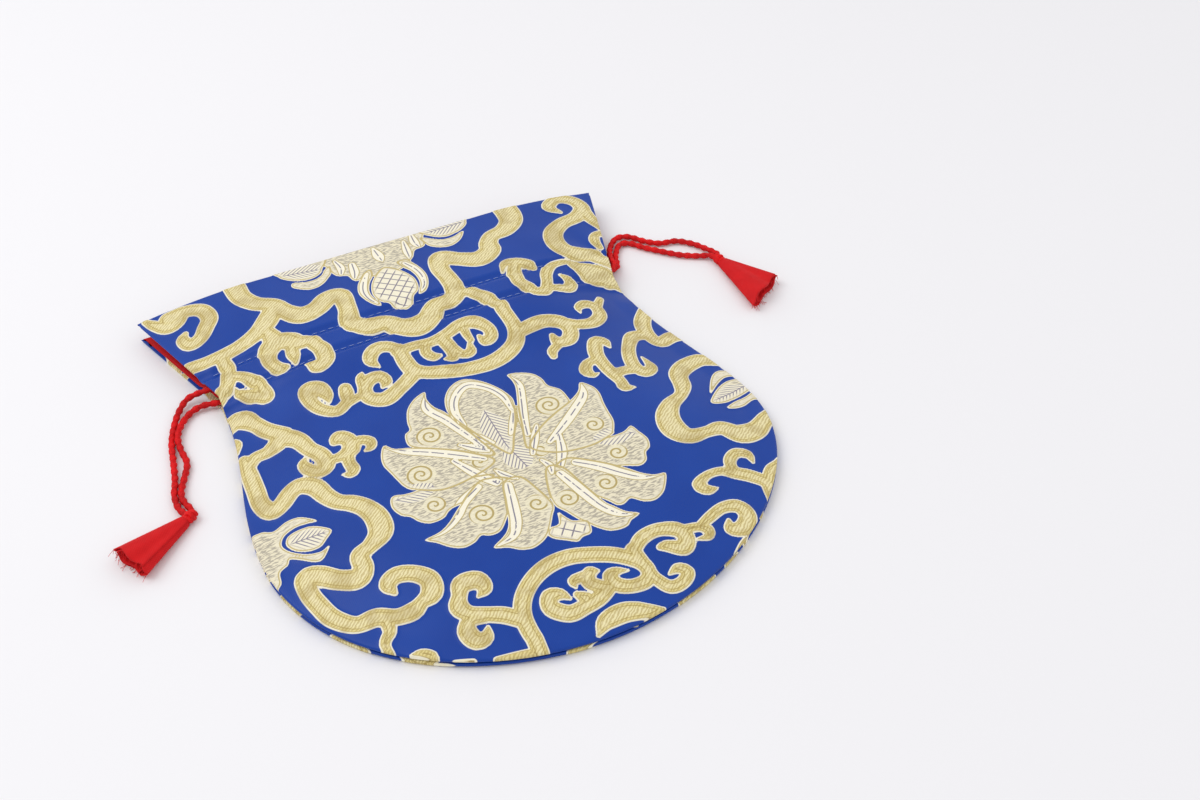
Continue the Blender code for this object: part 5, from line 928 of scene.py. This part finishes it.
def satin_brocade(name):
    """Figured satin: a glossy blue warp face, and duller gold and silver wefts floated over it.
    The figure shows pale outlines, contour lines and slanting twill, and its threads stand up. Shade is
    painted into the gold where the twill dips and into the petals where their strokes dip."""
    material, tree, shader = new_material(name, 0.4, 0.0, "#ffffff")
    place = add(tree, "TexCoord", {}).outputs["Object"]
    field = {key: add(tree, "Attribute", {}, attribute_name=key).outputs["Fac"]
             for key in ("gold", "pale", "band", "band_side", "lattice", *LAYER_FIELDS)}
    spots = [add(tree, "Attribute", {}, attribute_name=key).outputs["Vector"] for key in ("curl", "vein")]
    curl, vein = [add(tree, "SeparateXYZ", {0: spot}).outputs for spot in spots]

    # Threads: the satin's warp, the gold's slanting twill, the petals' short strokes, and the
    # patches where the cloth is by chance lighter or darker. The warp is drawn coarser than it is.
    drift, mottle, patches = [
        add(tree, "TexNoise", {"Vector": place, "Scale": scale, "Detail": detail}).outputs["Fac"]
        for scale, detail in ((45.0, 2.0), (420.0, 3.0), (130.0, 1.0))]
    warp = add(tree, "TexWave", {"Vector": place, "Scale": WAVE_TURN / (WARP_PITCH * MM),
                                 "Distortion": 0.6, "Detail": 1.0}, bands_direction="X").outputs["Fac"]
    turned = add(tree, "Mapping", {"Vector": place, "Rotation": (0.0, 0.0, math.radians(TWILL_SLANT))})
    twill = add(tree, "TexWave", {"Vector": turned.outputs[0], "Scale": WAVE_TURN / (TWILL_PITCH * MM),
                                  "Distortion": 5.0, "Detail": 2.0, "Detail Scale": 1.6},
                bands_direction="Y").outputs["Fac"]
    slanted = add(tree, "Mapping", {"Vector": place, "Rotation": (0.0, 0.0, math.radians(STROKE_SLANT)),
                                    "Scale": (1.0 / (STROKE_LENGTH * MM), 1.0 / (STROKE_PITCH * MM), 1.0)})
    strands = add(tree, "TexNoise", {"Vector": slanted.outputs[0], "Scale": 1.0, "Detail": 1.0})

    # Drawn lines: each curl winds inwards, veins run slantwise from the middle of a bud, and the
    # seed pods have a lattice. Such a line comes back at each pitch.
    spot = add(tree, "CombineXYZ", {0: curl[0], 1: curl[1]}).outputs[0]
    reach = add(tree, "VectorMath", {0: spot}, operation="LENGTH").outputs["Value"]
    turn = add(tree, "Math", {0: curl[1], 1: curl[0]}, operation="ARCTAN2").outputs[0]
    turn = add(tree, "Math", {0: turn, 1: CURL_PITCH / (2.0 * math.pi)}, operation="MULTIPLY").outputs[0]
    wound = add(tree, "Math", {0: reach, 1: turn}, operation="SUBTRACT").outputs[0]
    curl_room = add(tree, "Math", {0: curl[2], 1: reach}, operation="SUBTRACT").outputs[0]
    across = add(tree, "Math", {0: vein[1]}, operation="ABSOLUTE").outputs[0]
    slope = add(tree, "Math", {0: across, 1: VEIN_SLOPE, 2: vein[0]}, operation="MULTIPLY_ADD").outputs[0]
    diagonal = add(tree, "Mapping", {"Vector": place, "Rotation": (0.0, 0.0, math.radians(LATTICE_SLANT)),
                                     "Scale": (1.0 / MM, 1.0 / MM, 1.0)})
    wires = add(tree, "SeparateXYZ", {0: diagonal.outputs[0]}).outputs
    curl_line, vein_line, wire, cross_wire = [
        add(tree, "Math", {0: value, 1: 0.5 * pitch}, operation="PINGPONG").outputs[0]
        for value, pitch in ((wound, CURL_PITCH), (slope, VEIN_PITCH), (wires[0], LATTICE_PITCH),
                             (wires[1], LATTICE_PITCH))]
    band_middle = add(tree, "Math", {0: field["band_side"]}, operation="ABSOLUTE").outputs[0]
    figure = add(tree, "Math", {0: field["gold"], 1: field["pale"]}, operation="MAXIMUM").outputs[0]

    # Masks, each 0 at its first number and 1 at its second: millimetres inside an edge or beside
    # a line, or a level of the threads' noise.
    mask = {key: add(tree, "MapRange", {"Value": value, "From Min": start, "From Max": full},
                     interpolation_type="SMOOTHSTEP").outputs["Result"]
            for key, value, start, full in (
                ("gold", field["gold"], -0.08, 0.08), ("gold inside", field["gold"], 0.55, 0.9),
                ("gold rise", field["gold"], -0.1, 0.5), ("hollow", twill, 0.75, 0.25),
                ("fleck", mottle, 0.5, 0.72), ("worn", patches, 0.5, 0.68),
                ("stroke", strands.outputs["Fac"], 0.44, 0.58), ("curl", curl_line, 0.66, 0.86),
                ("in curl", curl_room, -0.1, 0.15), ("bud", vein[2], 0.0, 0.3),
                ("vein", vein_line, 0.48, 0.68), ("midrib", across, 0.28, 0.12),
                ("pod", field["lattice"], 0.5, 0.7), ("wire", wire, 1.26, 1.38),
                ("cross wire", cross_wire, 1.26, 1.38), ("band", field["band"], -0.1, 0.1),
                ("band rim", field["band"], 0.45, 0.2), ("band inside", field["band"], 0.6, 0.9),
                ("seam", band_middle, 0.3, 0.14), ("seam breaks", mottle, 0.4, 0.46),
                ("pale rim", field["pale"], 0.42, 0.25), ("figure", figure, -0.1, 0.1))}
    mask["warp"] = warp

    # Marks that show only where others let them, or only at a share of their strength.
    for key, first, way, second in (
            ("dark warp", "warp", "MULTIPLY", 0.16), ("warp rise", "warp", "MULTIPLY", 0.06),
            ("hollow", "hollow", "MULTIPLY", "gold inside"), ("hollow", "hollow", "MULTIPLY", 0.55),
            ("fleck", "fleck", "MULTIPLY", 0.35), ("worn", "worn", "MULTIPLY", 0.4),
            ("painted stroke shade", "stroke", "MULTIPLY", 0.75), ("calm curl", "in curl", "MULTIPLY", 0.75),
            ("curl", "curl", "MULTIPLY", "in curl"), ("vein", "vein", "MAXIMUM", "midrib"),
            ("vein", "vein", "MULTIPLY", "bud"), ("wire", "wire", "MAXIMUM", "cross wire"),
            ("wire", "wire", "MULTIPLY", "pod"), ("seam", "seam", "MULTIPLY", "seam breaks"),
            ("seam", "seam", "MULTIPLY", "band inside")):
        pair = {0: mask[first], 1: mask.get(second, second)}
        mask[key] = add(tree, "Math", pair, operation=way).outputs[0]

    # Colours of the blue ground, the gold scrolls with their contour lines and painted shade where the
    # twill dips, the cream petals with grey-violet strokes that are painted shade where their threads
    # dip, and the petals' bright folded bands with a dark broken line.
    ground = woven_over(tree, hex_colour("#07358e"), ((drift, "#1144a2"), (mask["dark warp"], "#082a78")))
    deep = add(tree, "Math", {0: field["gold"], 1: RAMP_DEPTH}, operation="DIVIDE").outputs[0]
    ramp = add(tree, "ValToRGB", {"Fac": deep})
    stops = ramp.color_ramp.elements
    for number, (depth, code) in enumerate(GOLD_BANDS):
        stop = stops[number] if number < 2 else stops.new(depth / RAMP_DEPTH)
        stop.position = depth / RAMP_DEPTH
        stop.color = hex_colour(code)
    # Painted shade: the gold darkens to #a88f4e where the twill's bump dips.
    gold = woven_over(tree, ramp.outputs["Color"], (
        (mask["hollow"], "#a88f4e"), (mask["fleck"], "#f1e6bd"), (mask["worn"], "#a9935a")))
    # Painted shade: the cream greys to #989187 where the stroke noise lowers the bump, between the threads.
    cream = woven_over(tree, hex_colour("#e9e0c4"), (
        (mask["painted stroke shade"], "#989187"), (mask["calm curl"], "#ece4c6"), (mask["curl"], "#b3a068"),
        (mask["bud"], "#efe8d0"), (mask["vein"], "#8d8794"), (mask["pod"], "#f1ead2"),
        (mask["wire"], "#857f8c")))
    bright = woven_over(tree, hex_colour("#f4eeda"), (
        (mask["band rim"], "#b9a76c"), (mask["seam"], "#85818f")))
    outline = woven_over(tree, hex_colour("#c4b27a"), ((mask["pale rim"], "#f2ebd2"),))

    # The petals' layers one over the other, each with its gold outline, and their loft.
    colour = woven_over(tree, ground, ((mask["gold"], gold),))
    relief = mask["gold rise"]
    for key in LAYER_FIELDS:
        over, line, rim = [
            add(tree, "MapRange", {"Value": field[key], "From Min": start, "From Max": full},
                interpolation_type="SMOOTHSTEP").outputs["Result"]
            for start, full in (PETAL_EDGE, PETAL_OUTLINE, PETAL_RIM)]
        rim = add(tree, "Math", {0: rim, 1: 0.65}, operation="MULTIPLY").outputs[0]
        petal = woven_over(tree, cream, ((rim, "#ebe3ca"), (mask["band"], bright), (line, outline)))
        colour = woven_over(tree, colour, ((over, petal),))
        loft = add(tree, "MapRange", {"Value": field[key], "From Min": -0.1, "From Max": 0.9,
                                      "To Min": WEFT_LOFT}, interpolation_type="SMOOTHSTEP")
        relief = add(tree, "Mix", {0: over, 2: relief, 3: loft.outputs["Result"]}, data_type="FLOAT")
        relief = relief.outputs[0]
    tree.links.new(colour, shader.inputs["Base Color"])
    threads = add(tree, "Math", {0: twill, 1: 0.25, 2: relief}, operation="MULTIPLY_ADD").outputs[0]
    marks = add(tree, "Math", {0: mask["stroke"], 1: -0.12, 2: threads}, operation="MULTIPLY_ADD")
    height, rough = [
        add(tree, "Mix", {0: mask["figure"], 2: plain, 3: figured}, data_type="FLOAT").outputs[0]
        for plain, figured in ((mask["warp rise"], marks.outputs[0]), (SATIN_ROUGHNESS, FIGURE_ROUGHNESS))]
    bump = add(tree, "Bump", {"Height": height, "Strength": 0.55, "Distance": 0.00035})
    tree.links.new(bump.outputs["Normal"], shader.inputs["Normal"])
    tree.links.new(rough, shader.inputs["Roughness"])
    return material


front_satin = satin_brocade("blue satin brocade front")
front = brocade_panel("brocade_front_cloth", front_high, front_low, front_satin)
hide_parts("brocade_front")

# Back cloth. The same brocade, cut the other way round, lies face down on the floor and is sewn
# to the front cloth round the bottom.


def back_outer(x, y):
    """The back cloth's face before the figure's threads stand up from it."""
    return back_low(x, y) + FIGURE_RELIEF


back_satin = satin_brocade("blue satin brocade back")
back = brocade_panel("brocade_back_cloth", back_outer, back_high, back_satin, -1.0)
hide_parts("brocade_back")

# Linings. Plain red cotton, one behind each brocade cloth, hemmed just inside the mouth, and held
# off the outer cloth along the casing, where the cords run between the two.
LINING_INSET = 8.5
LINING_FLAP_INSET = 0.9
LINING_FLAP_START = 8.0
LINING_FLAP_EASE = 7.0
LINING_STEP = 1.6
WEAVE_PITCH = 0.5


def lining_inset(y):
    """The lining comes close to the edge only on the flaps of the mouth."""
    low = CASING_Y - LINING_FLAP_START
    share = smoothstep(low, low + LINING_FLAP_EASE, y)
    return LINING_INSET + (LINING_FLAP_INSET - LINING_INSET) * share


def casing_gap(y):
    """Gap between a lining and its outer cloth, open in the casing for the cords."""
    away = np.abs(np.asarray(y, float) - CASING_Y) - CHANNEL_HALF
    opening = 1.0 - np.clip(away / CASING_FADE, 0.0, 1.0)
    return LAYER_GAP + (CORD_ROOM - LAYER_GAP) * opening


def front_lining_high(x, y):
    """The front lining's side next to the brocade."""
    return front_level(x, y) - casing_gap(y)


def front_lining_low(x, y):
    """The front lining's side towards the inside of the pouch."""
    return front_lining_high(x, y) - LINING


def back_lining_low(x, y):
    """The back lining's side next to the brocade."""
    return CLOTH + casing_gap(y)


def back_lining_high(x, y):
    """The back lining's side towards the inside of the pouch."""
    return back_lining_low(x, y) + LINING


def plain_weave(name, light, dark, roughness):
    """Dyed plain cloth: threads over and under each other, dull, with slubs and soft creases, and painted
    shade between the threads.
    """
    material, tree, shader = new_material(name, roughness, 0.06, "#ff6a60")
    place = add(tree, "TexCoord", {}).outputs["Object"]
    threads = [add(tree, "TexWave", {"Vector": place, "Scale": WAVE_TURN / (WEAVE_PITCH * MM),
                                     "Distortion": 1.2, "Detail": 1.0}, bands_direction=way).outputs["Fac"]
               for way in ("X", "Y")]
    weave = add(tree, "Math", {0: threads[0], 1: threads[1]}, operation="MULTIPLY").outputs[0]
    slubs = add(tree, "TexNoise", {"Vector": place, "Scale": 240.0, "Detail": 4.0}).outputs["Fac"]
    share = add(tree, "Mix", {0: 0.6, 2: weave, 3: slubs}, data_type="FLOAT").outputs[0]
    # Painted shade: the red darkens where the weave's bump is low, between the threads; the slubs add the
    # cloth's own uneven tone.
    colour = woven_over(tree, hex_colour(dark), ((share, light),))
    tree.links.new(colour, shader.inputs["Base Color"])
    bump = add(tree, "Bump", {"Height": share, "Strength": 0.45, "Distance": 0.0002})
    tree.links.new(bump.outputs["Normal"], shader.inputs["Normal"])
    return material


def lining_cloth(name, outer, inner):
    """A thin lining with both faces and a folded edge."""
    body = bmesh.new()
    face = plan_grid(body, LINING_STEP, lining_inset)
    set_heights(face, outer)
    body.edges.index_update()
    rim = outline_edges(face)
    back_face = plan_grid(body, LINING_STEP, lining_inset)
    set_heights(back_face, inner)
    body.edges.index_update()
    bmesh.ops.bridge_loops(body, edges=rim + outline_edges(back_face))
    cotton = plain_weave(name.replace("_", " ") + " cotton", "#d9161a", "#a80a12", 0.75)
    cloth = finish_cloth(name, body, cotton)
    return cloth


front_lining = lining_cloth("lining_front_cloth", front_lining_high, front_lining_low)
back_lining = lining_cloth("lining_back_cloth", back_lining_high, back_lining_low)
for lining, node, under in ((front_lining, "lining_front", "lining_back_cloth"),
                            (back_lining, "lining_back", "brocade_back_cloth")):
    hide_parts(node)

# Casing seams. Four rows of machine stitches in pale blue polyester thread close the casing above
# and below the cords; each stitch bites into the cloth at both ends.
STITCH_PITCH = 3.0
STITCH_LENGTH = 2.2
STITCH_WIDTH = 0.34
STITCH_RISE = 0.3
SEAM_END_INSET = 4.0
STITCH_SUNK = 0.3
STITCH_STRAY = 0.08
STITCH_TURN = 0.03
THREAD_PLY = 0.35


def sewing_thread():
    """Spun polyester: smooth, slightly glossy, finely twisted, with a painted highlight on the ridges of
    its twist.
    """
    material, tree, shader = new_material("pale blue sewing thread", 0.45, 0.1, "#ffffff")
    place = add(tree, "TexCoord", {}).outputs["Object"]
    ply = add(tree, "TexWave", {"Vector": place, "Scale": WAVE_TURN / (THREAD_PLY * MM), "Distortion": 0.5},
              bands_direction="DIAGONAL").outputs["Fac"]
    # Painted highlight and shade: the twist's ridges, raised by the bump, are paler blue and its grooves
    # darker.
    colour = woven_over(tree, hex_colour("#5f78bd"), ((ply, "#96a6d6"),))
    tree.links.new(colour, shader.inputs["Base Color"])
    bump = add(tree, "Bump", {"Height": ply, "Strength": 0.3, "Distance": 0.0001})
    tree.links.new(bump.outputs["Normal"], shader.inputs["Normal"])
    return material


thread = sewing_thread()


def stitch_row(name, row, height, facing, node):
    """One row of stitches across a cloth."""
    reach = float(half_width(row)) - SEAM_END_INSET
    xs = np.arange(-reach, reach, STITCH_PITCH) + 0.5 * STITCH_PITCH
    levels = height(xs, np.full(len(xs), row))
    slopes = np.gradient(levels, xs)
    body = bmesh.new()
    for number, (x, z, slope) in enumerate(zip(xs, levels, slopes)):
        stray = STITCH_STRAY * math.sin(2.3 * number)
        place = Matrix.Translation((x, row + stray - HEIGHT / 2, z + facing * STITCH_SUNK * STITCH_RISE))
        turn = Matrix.Rotation(-math.atan(slope), 4, "Y")
        turn = turn @ Matrix.Rotation(STITCH_TURN * math.sin(1.7 * number), 4, "Z")
        shape = Matrix.Diagonal((STITCH_LENGTH / 2, STITCH_WIDTH / 2, STITCH_RISE / 2, 1.0))
        bmesh.ops.create_uvsphere(body, u_segments=10, v_segments=6, radius=1.0,
                                  matrix=Matrix.Scale(MM, 4) @ place @ turn @ shape)
    for face in body.faces:
        face.smooth = True
    mesh = bpy.data.meshes.new(name)
    body.to_mesh(mesh)
    body.free()
    mesh.materials.append(thread)
    seam = bpy.data.objects.new(name, mesh)
    bpy.context.scene.collection.objects.link(seam)
    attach(seam, "root")
    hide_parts(node)


for label, seam_y in zip(("lower", "upper"), SEAM_ROWS):
    stitch_row("stitches_front_" + label, seam_y, front_high, 1.0, "casing_seam_front_" + label)
    stitch_row("stitches_back_" + label, seam_y, back_outer, -1.0, "casing_seam_back_" + label)

# Knots. The two ends of each cord are wound round themselves and pulled tight, so the knot is a
# few close turns of the same twisted cord.
KNOT_LENGTH = 5.6
KNOT_WIDTH = 4.6
KNOT_HEIGHT = 4.0
KNOT_TURNS = 2.6
KNOT_CORD = 0.86
KNOT_POINTS = 90
KNOT_END_SWELL = 0.35


def wound_knot(name, middle, heading, node):
    """Close turns of cord about the two ends."""
    forward = Vector((*heading, 0.0)).normalized()
    across = Vector((-forward.y, forward.x, 0.0))
    thick = CORD * KNOT_CORD
    route = []
    for share in np.linspace(0.0, 1.0, KNOT_POINTS):
        turn = 2.0 * math.pi * KNOT_TURNS * share
        swell = KNOT_END_SWELL + (1.0 - KNOT_END_SWELL) * math.sin(math.pi * (0.08 + 0.84 * share))
        wide, tall = (KNOT_WIDTH - thick) / 2 * swell, (KNOT_HEIGHT - thick) / 2 * swell
        spot = Vector((*middle, KNOT_HEIGHT / 2)) + forward * ((share - 0.5) * (KNOT_LENGTH - thick))
        spot += across * (wide * math.cos(turn)) + Vector((0.0, 0.0, tall * math.sin(turn)))
        route.append(tuple(spot))
    knot = twisted_cord(name, route, KNOT_CORD)[0]
    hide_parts(node)
    return knot


# Tassels. Each is a scrap of plain red cloth rolled to a flat cone and caught in the knot; the
# wide end is cut raw, shows the layers inside, and frays.
LEFT_KNOT = (-98.6, 105.6)
LEFT_TASSEL_END = ((-123.1, 100.9), (-116.4, 86.6))
LEFT_TASSEL_HEIGHT = 7.0
RIGHT_KNOT = (117.8, 145.4)
RIGHT_TASSEL_END = ((131.8, 125.9), (113.9, 114.5))
RIGHT_TASSEL_HEIGHT = 6.0
TASSEL_TIP_WIDTH = 4.4
TASSEL_TIP_HEIGHT = 3.4
TASSEL_TURNS = 1.85
TASSEL_CLOTH = 0.35
TASSEL_OVERLAP = 0.26
TASSEL_TIGHTER = 0.1
TASSEL_SEAM_TURN = 0.7
CREASE_DEPTH = 0.45
RIPPLE = 0.0875
WAVY_END = 0.45
TASSEL_ON_FLOOR = 0.32
TIP_IN_KNOT = 0.6
FRAY_COUNT = 46
FRAY_LENGTH = 2.6
FRAY_RADIUS = 0.07
FRAY_ROOT = 0.99
FRAY_DROOP = 0.12
FRAY_LOWEST = 0.15
tassel_cloth = plain_weave("plain red tassel cotton", "#e2161b", "#b80a11", 0.75)


def cone_spot(tip, end, spread, tall, along, turn):
    """A point on the rolled cone: further turns lie further in."""
    forward = (end - tip).normalized()
    across = Vector((-forward.y, forward.x))
    inward = 1.0 - TASSEL_OVERLAP * max(0.0, turn - 1.0) - TASSEL_TIGHTER * turn
    flat = tip + (end - tip) * along
    reach = (across * (TASSEL_TIP_WIDTH / 2 * (1.0 - along)) + spread * along) * inward
    angle = 2.0 * math.pi * turn + TASSEL_SEAM_TURN
    height = TASSEL_TIP_HEIGHT + (tall - TASSEL_TIP_HEIGHT) * along
    crease = 0.5 * height * along * math.exp(-((math.cos(angle) - 0.3) / 0.3) ** 2)
    rise = 0.5 * height * math.sin(angle) * inward
    rise -= crease * CREASE_DEPTH * inward if math.sin(angle) > 0.0 else 0.0
    ripple = RIPPLE * along * math.sin(9.0 * angle + 3.0 * turn)
    flat = flat + reach * math.cos(angle) + forward * (WAVY_END * along * along * math.sin(5.0 * angle))
    return Vector((flat.x, flat.y, max(TASSEL_ON_FLOOR, 0.5 * height + rise + ripple)))


def rolled_tassel(name, tip, corners, tall, node):
    """The rolled cloth, as a sheet with a thickness, and its frayed threads."""
    tip, ends = Vector(tip), [Vector(corner) for corner in corners]
    end, spread = (ends[0] + ends[1]) / 2, (ends[1] - ends[0]) / 2
    forward = (end - tip).normalized()
    if Vector((-forward.y, forward.x)).dot(spread) < 0.0:
        spread = -spread
    body = bmesh.new()
    made = bmesh.ops.create_grid(body, x_segments=110, y_segments=36, size=1.0)["verts"]
    for vert in made:
        turn, along = (vert.co.x + 1.0) / 2 * TASSEL_TURNS, (vert.co.y + 1.0) / 2
        vert.co = metres([cone_spot(tip, end, spread, tall, along, turn)])[0]
    for face in body.faces:
        face.smooth = True
    mesh = bpy.data.meshes.new(name)
    body.to_mesh(mesh)
    body.free()
    mesh.materials.append(tassel_cloth)
    tassel = bpy.data.objects.new(name, mesh)
    bpy.context.scene.collection.objects.link(tassel)
    wall = tassel.modifiers.new("cloth thickness", "SOLIDIFY")
    wall.thickness = TASSEL_CLOTH * MM
    wall.offset = 0.0
    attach(tassel, "root")
    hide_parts(node)
    frays = bpy.data.curves.new(name + "_frays", "CURVE")
    frays.dimensions = "3D"
    frays.bevel_depth = FRAY_RADIUS * MM
    frays.bevel_resolution = 1
    draws = np.random.default_rng(7)
    for number in range(FRAY_COUNT):
        turn = float(draws.uniform(0.0, TASSEL_TURNS))
        root = cone_spot(tip, end, spread, tall, FRAY_ROOT, turn)
        long = FRAY_LENGTH * float(draws.uniform(0.25, 1.0)) ** 1.6
        aim = Vector((forward.x, forward.y, 0.0)) + Vector(draws.normal(0.0, 0.45, 3))
        spline = frays.splines.new("POLY")
        spline.points.add(3)
        for k, point in enumerate(spline.points):
            spot = root + aim.normalized() * (long * k / 3) + Vector((0.0, 0.0, -FRAY_DROOP * k * k))
            point.co = (*metres([(spot.x, spot.y, max(FRAY_LOWEST, spot.z))])[0], 1.0)
    frays.materials.append(tassel_cloth)
    fringe = bpy.data.objects.new(name + "_frays", frays)
    bpy.context.scene.collection.objects.link(fringe)
    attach(fringe, "root")
    return tassel, fringe


for label, cord, long, spot, corners, tall in (
        ("left", left_cord, left_length, LEFT_KNOT, LEFT_TASSEL_END, LEFT_TASSEL_HEIGHT),
        ("right", right_cord, right_length, RIGHT_KNOT, RIGHT_TASSEL_END, RIGHT_TASSEL_HEIGHT)):
    wide_end = (Vector(corners[0]) + Vector(corners[1])) / 2
    heading = (wide_end - Vector(spot)).normalized()
    tip = Vector(spot) + heading * (KNOT_LENGTH / 2 - TIP_IN_KNOT)
    knot = wound_knot("knot_" + label + "_wound", spot, heading, "knot_" + label)
    tassel, fringe = rolled_tassel("tassel_" + label + "_rolled", tip, corners, tall, "tassel_" + label)

# Floor, light and background. The table top is white laminate, in soft daylight: a wide lamp at
# the upper left and a weak one opposite, and a white sky round both.
KEY_SPOT, KEY_WATTS, KEY_SIZE = (-0.55, 0.35, 0.95), 4.4, 0.8
FILL_SPOT, FILL_WATTS, FILL_SIZE = (0.7, -0.5, 0.8), 1.0, 1.0
WORLD_LEVEL = 0.8


def table_top():
    """White laminate that keeps the pouch's shadow."""
    material = bpy.data.materials.new("white table top")
    material.use_nodes = True
    tree = material.node_tree
    shader = tree.nodes["Principled BSDF"]
    shader.inputs["Base Color"].default_value = hex_colour("#eeedf0")
    shader.inputs["Roughness"].default_value = 0.9
    shader.inputs["Specular IOR Level"].default_value = 0.1
    return material


body = bmesh.new()
bmesh.ops.create_grid(body, x_segments=1, y_segments=1, size=4.0)
mesh = bpy.data.meshes.new("table_top")
body.to_mesh(mesh)
body.free()
mesh.materials.append(table_top())
floor = bpy.data.objects.new("table_top", mesh)
floor.location.z = -0.0001
bpy.context.scene.collection.objects.link(floor)
lamps = (("key", KEY_SPOT, KEY_WATTS, KEY_SIZE), ("fill", FILL_SPOT, FILL_WATTS, FILL_SIZE))
for name, spot, watts, size in lamps:
    lamp = bpy.data.lights.new(name, "AREA")
    lamp.energy = watts
    lamp.size = size
    light = bpy.data.objects.new(name, lamp)
    light.location = spot
    light.rotation_euler = (-Vector(spot)).to_track_quat("-Z", "Y").to_euler()
    bpy.context.scene.collection.objects.link(light)
world = bpy.data.worlds.new("soft daylight")
bpy.context.scene.world = world
world.use_nodes = True
sky = world.node_tree
rays = add(sky, "LightPath", {})
seen = add(sky, "Math", {0: rays.outputs["Is Camera Ray"], 1: rays.outputs["Is Glossy Ray"]},
           operation="MAXIMUM").outputs[0]
seen = add(sky, "Math", {0: seen, 1: rays.outputs["Is Transmission Ray"]}, operation="MAXIMUM").outputs[0]
level = add(sky, "Mix", {0: seen, 2: WORLD_LEVEL, 3: 1.0}, data_type="FLOAT").outputs[0]
sky.links.new(level, sky.nodes["Background"].inputs["Strength"])
sky.nodes["Background"].inputs["Color"].default_value = (1.0, 1.0, 1.0, 1.0)
bpy.context.scene.view_settings.view_transform = "Standard"
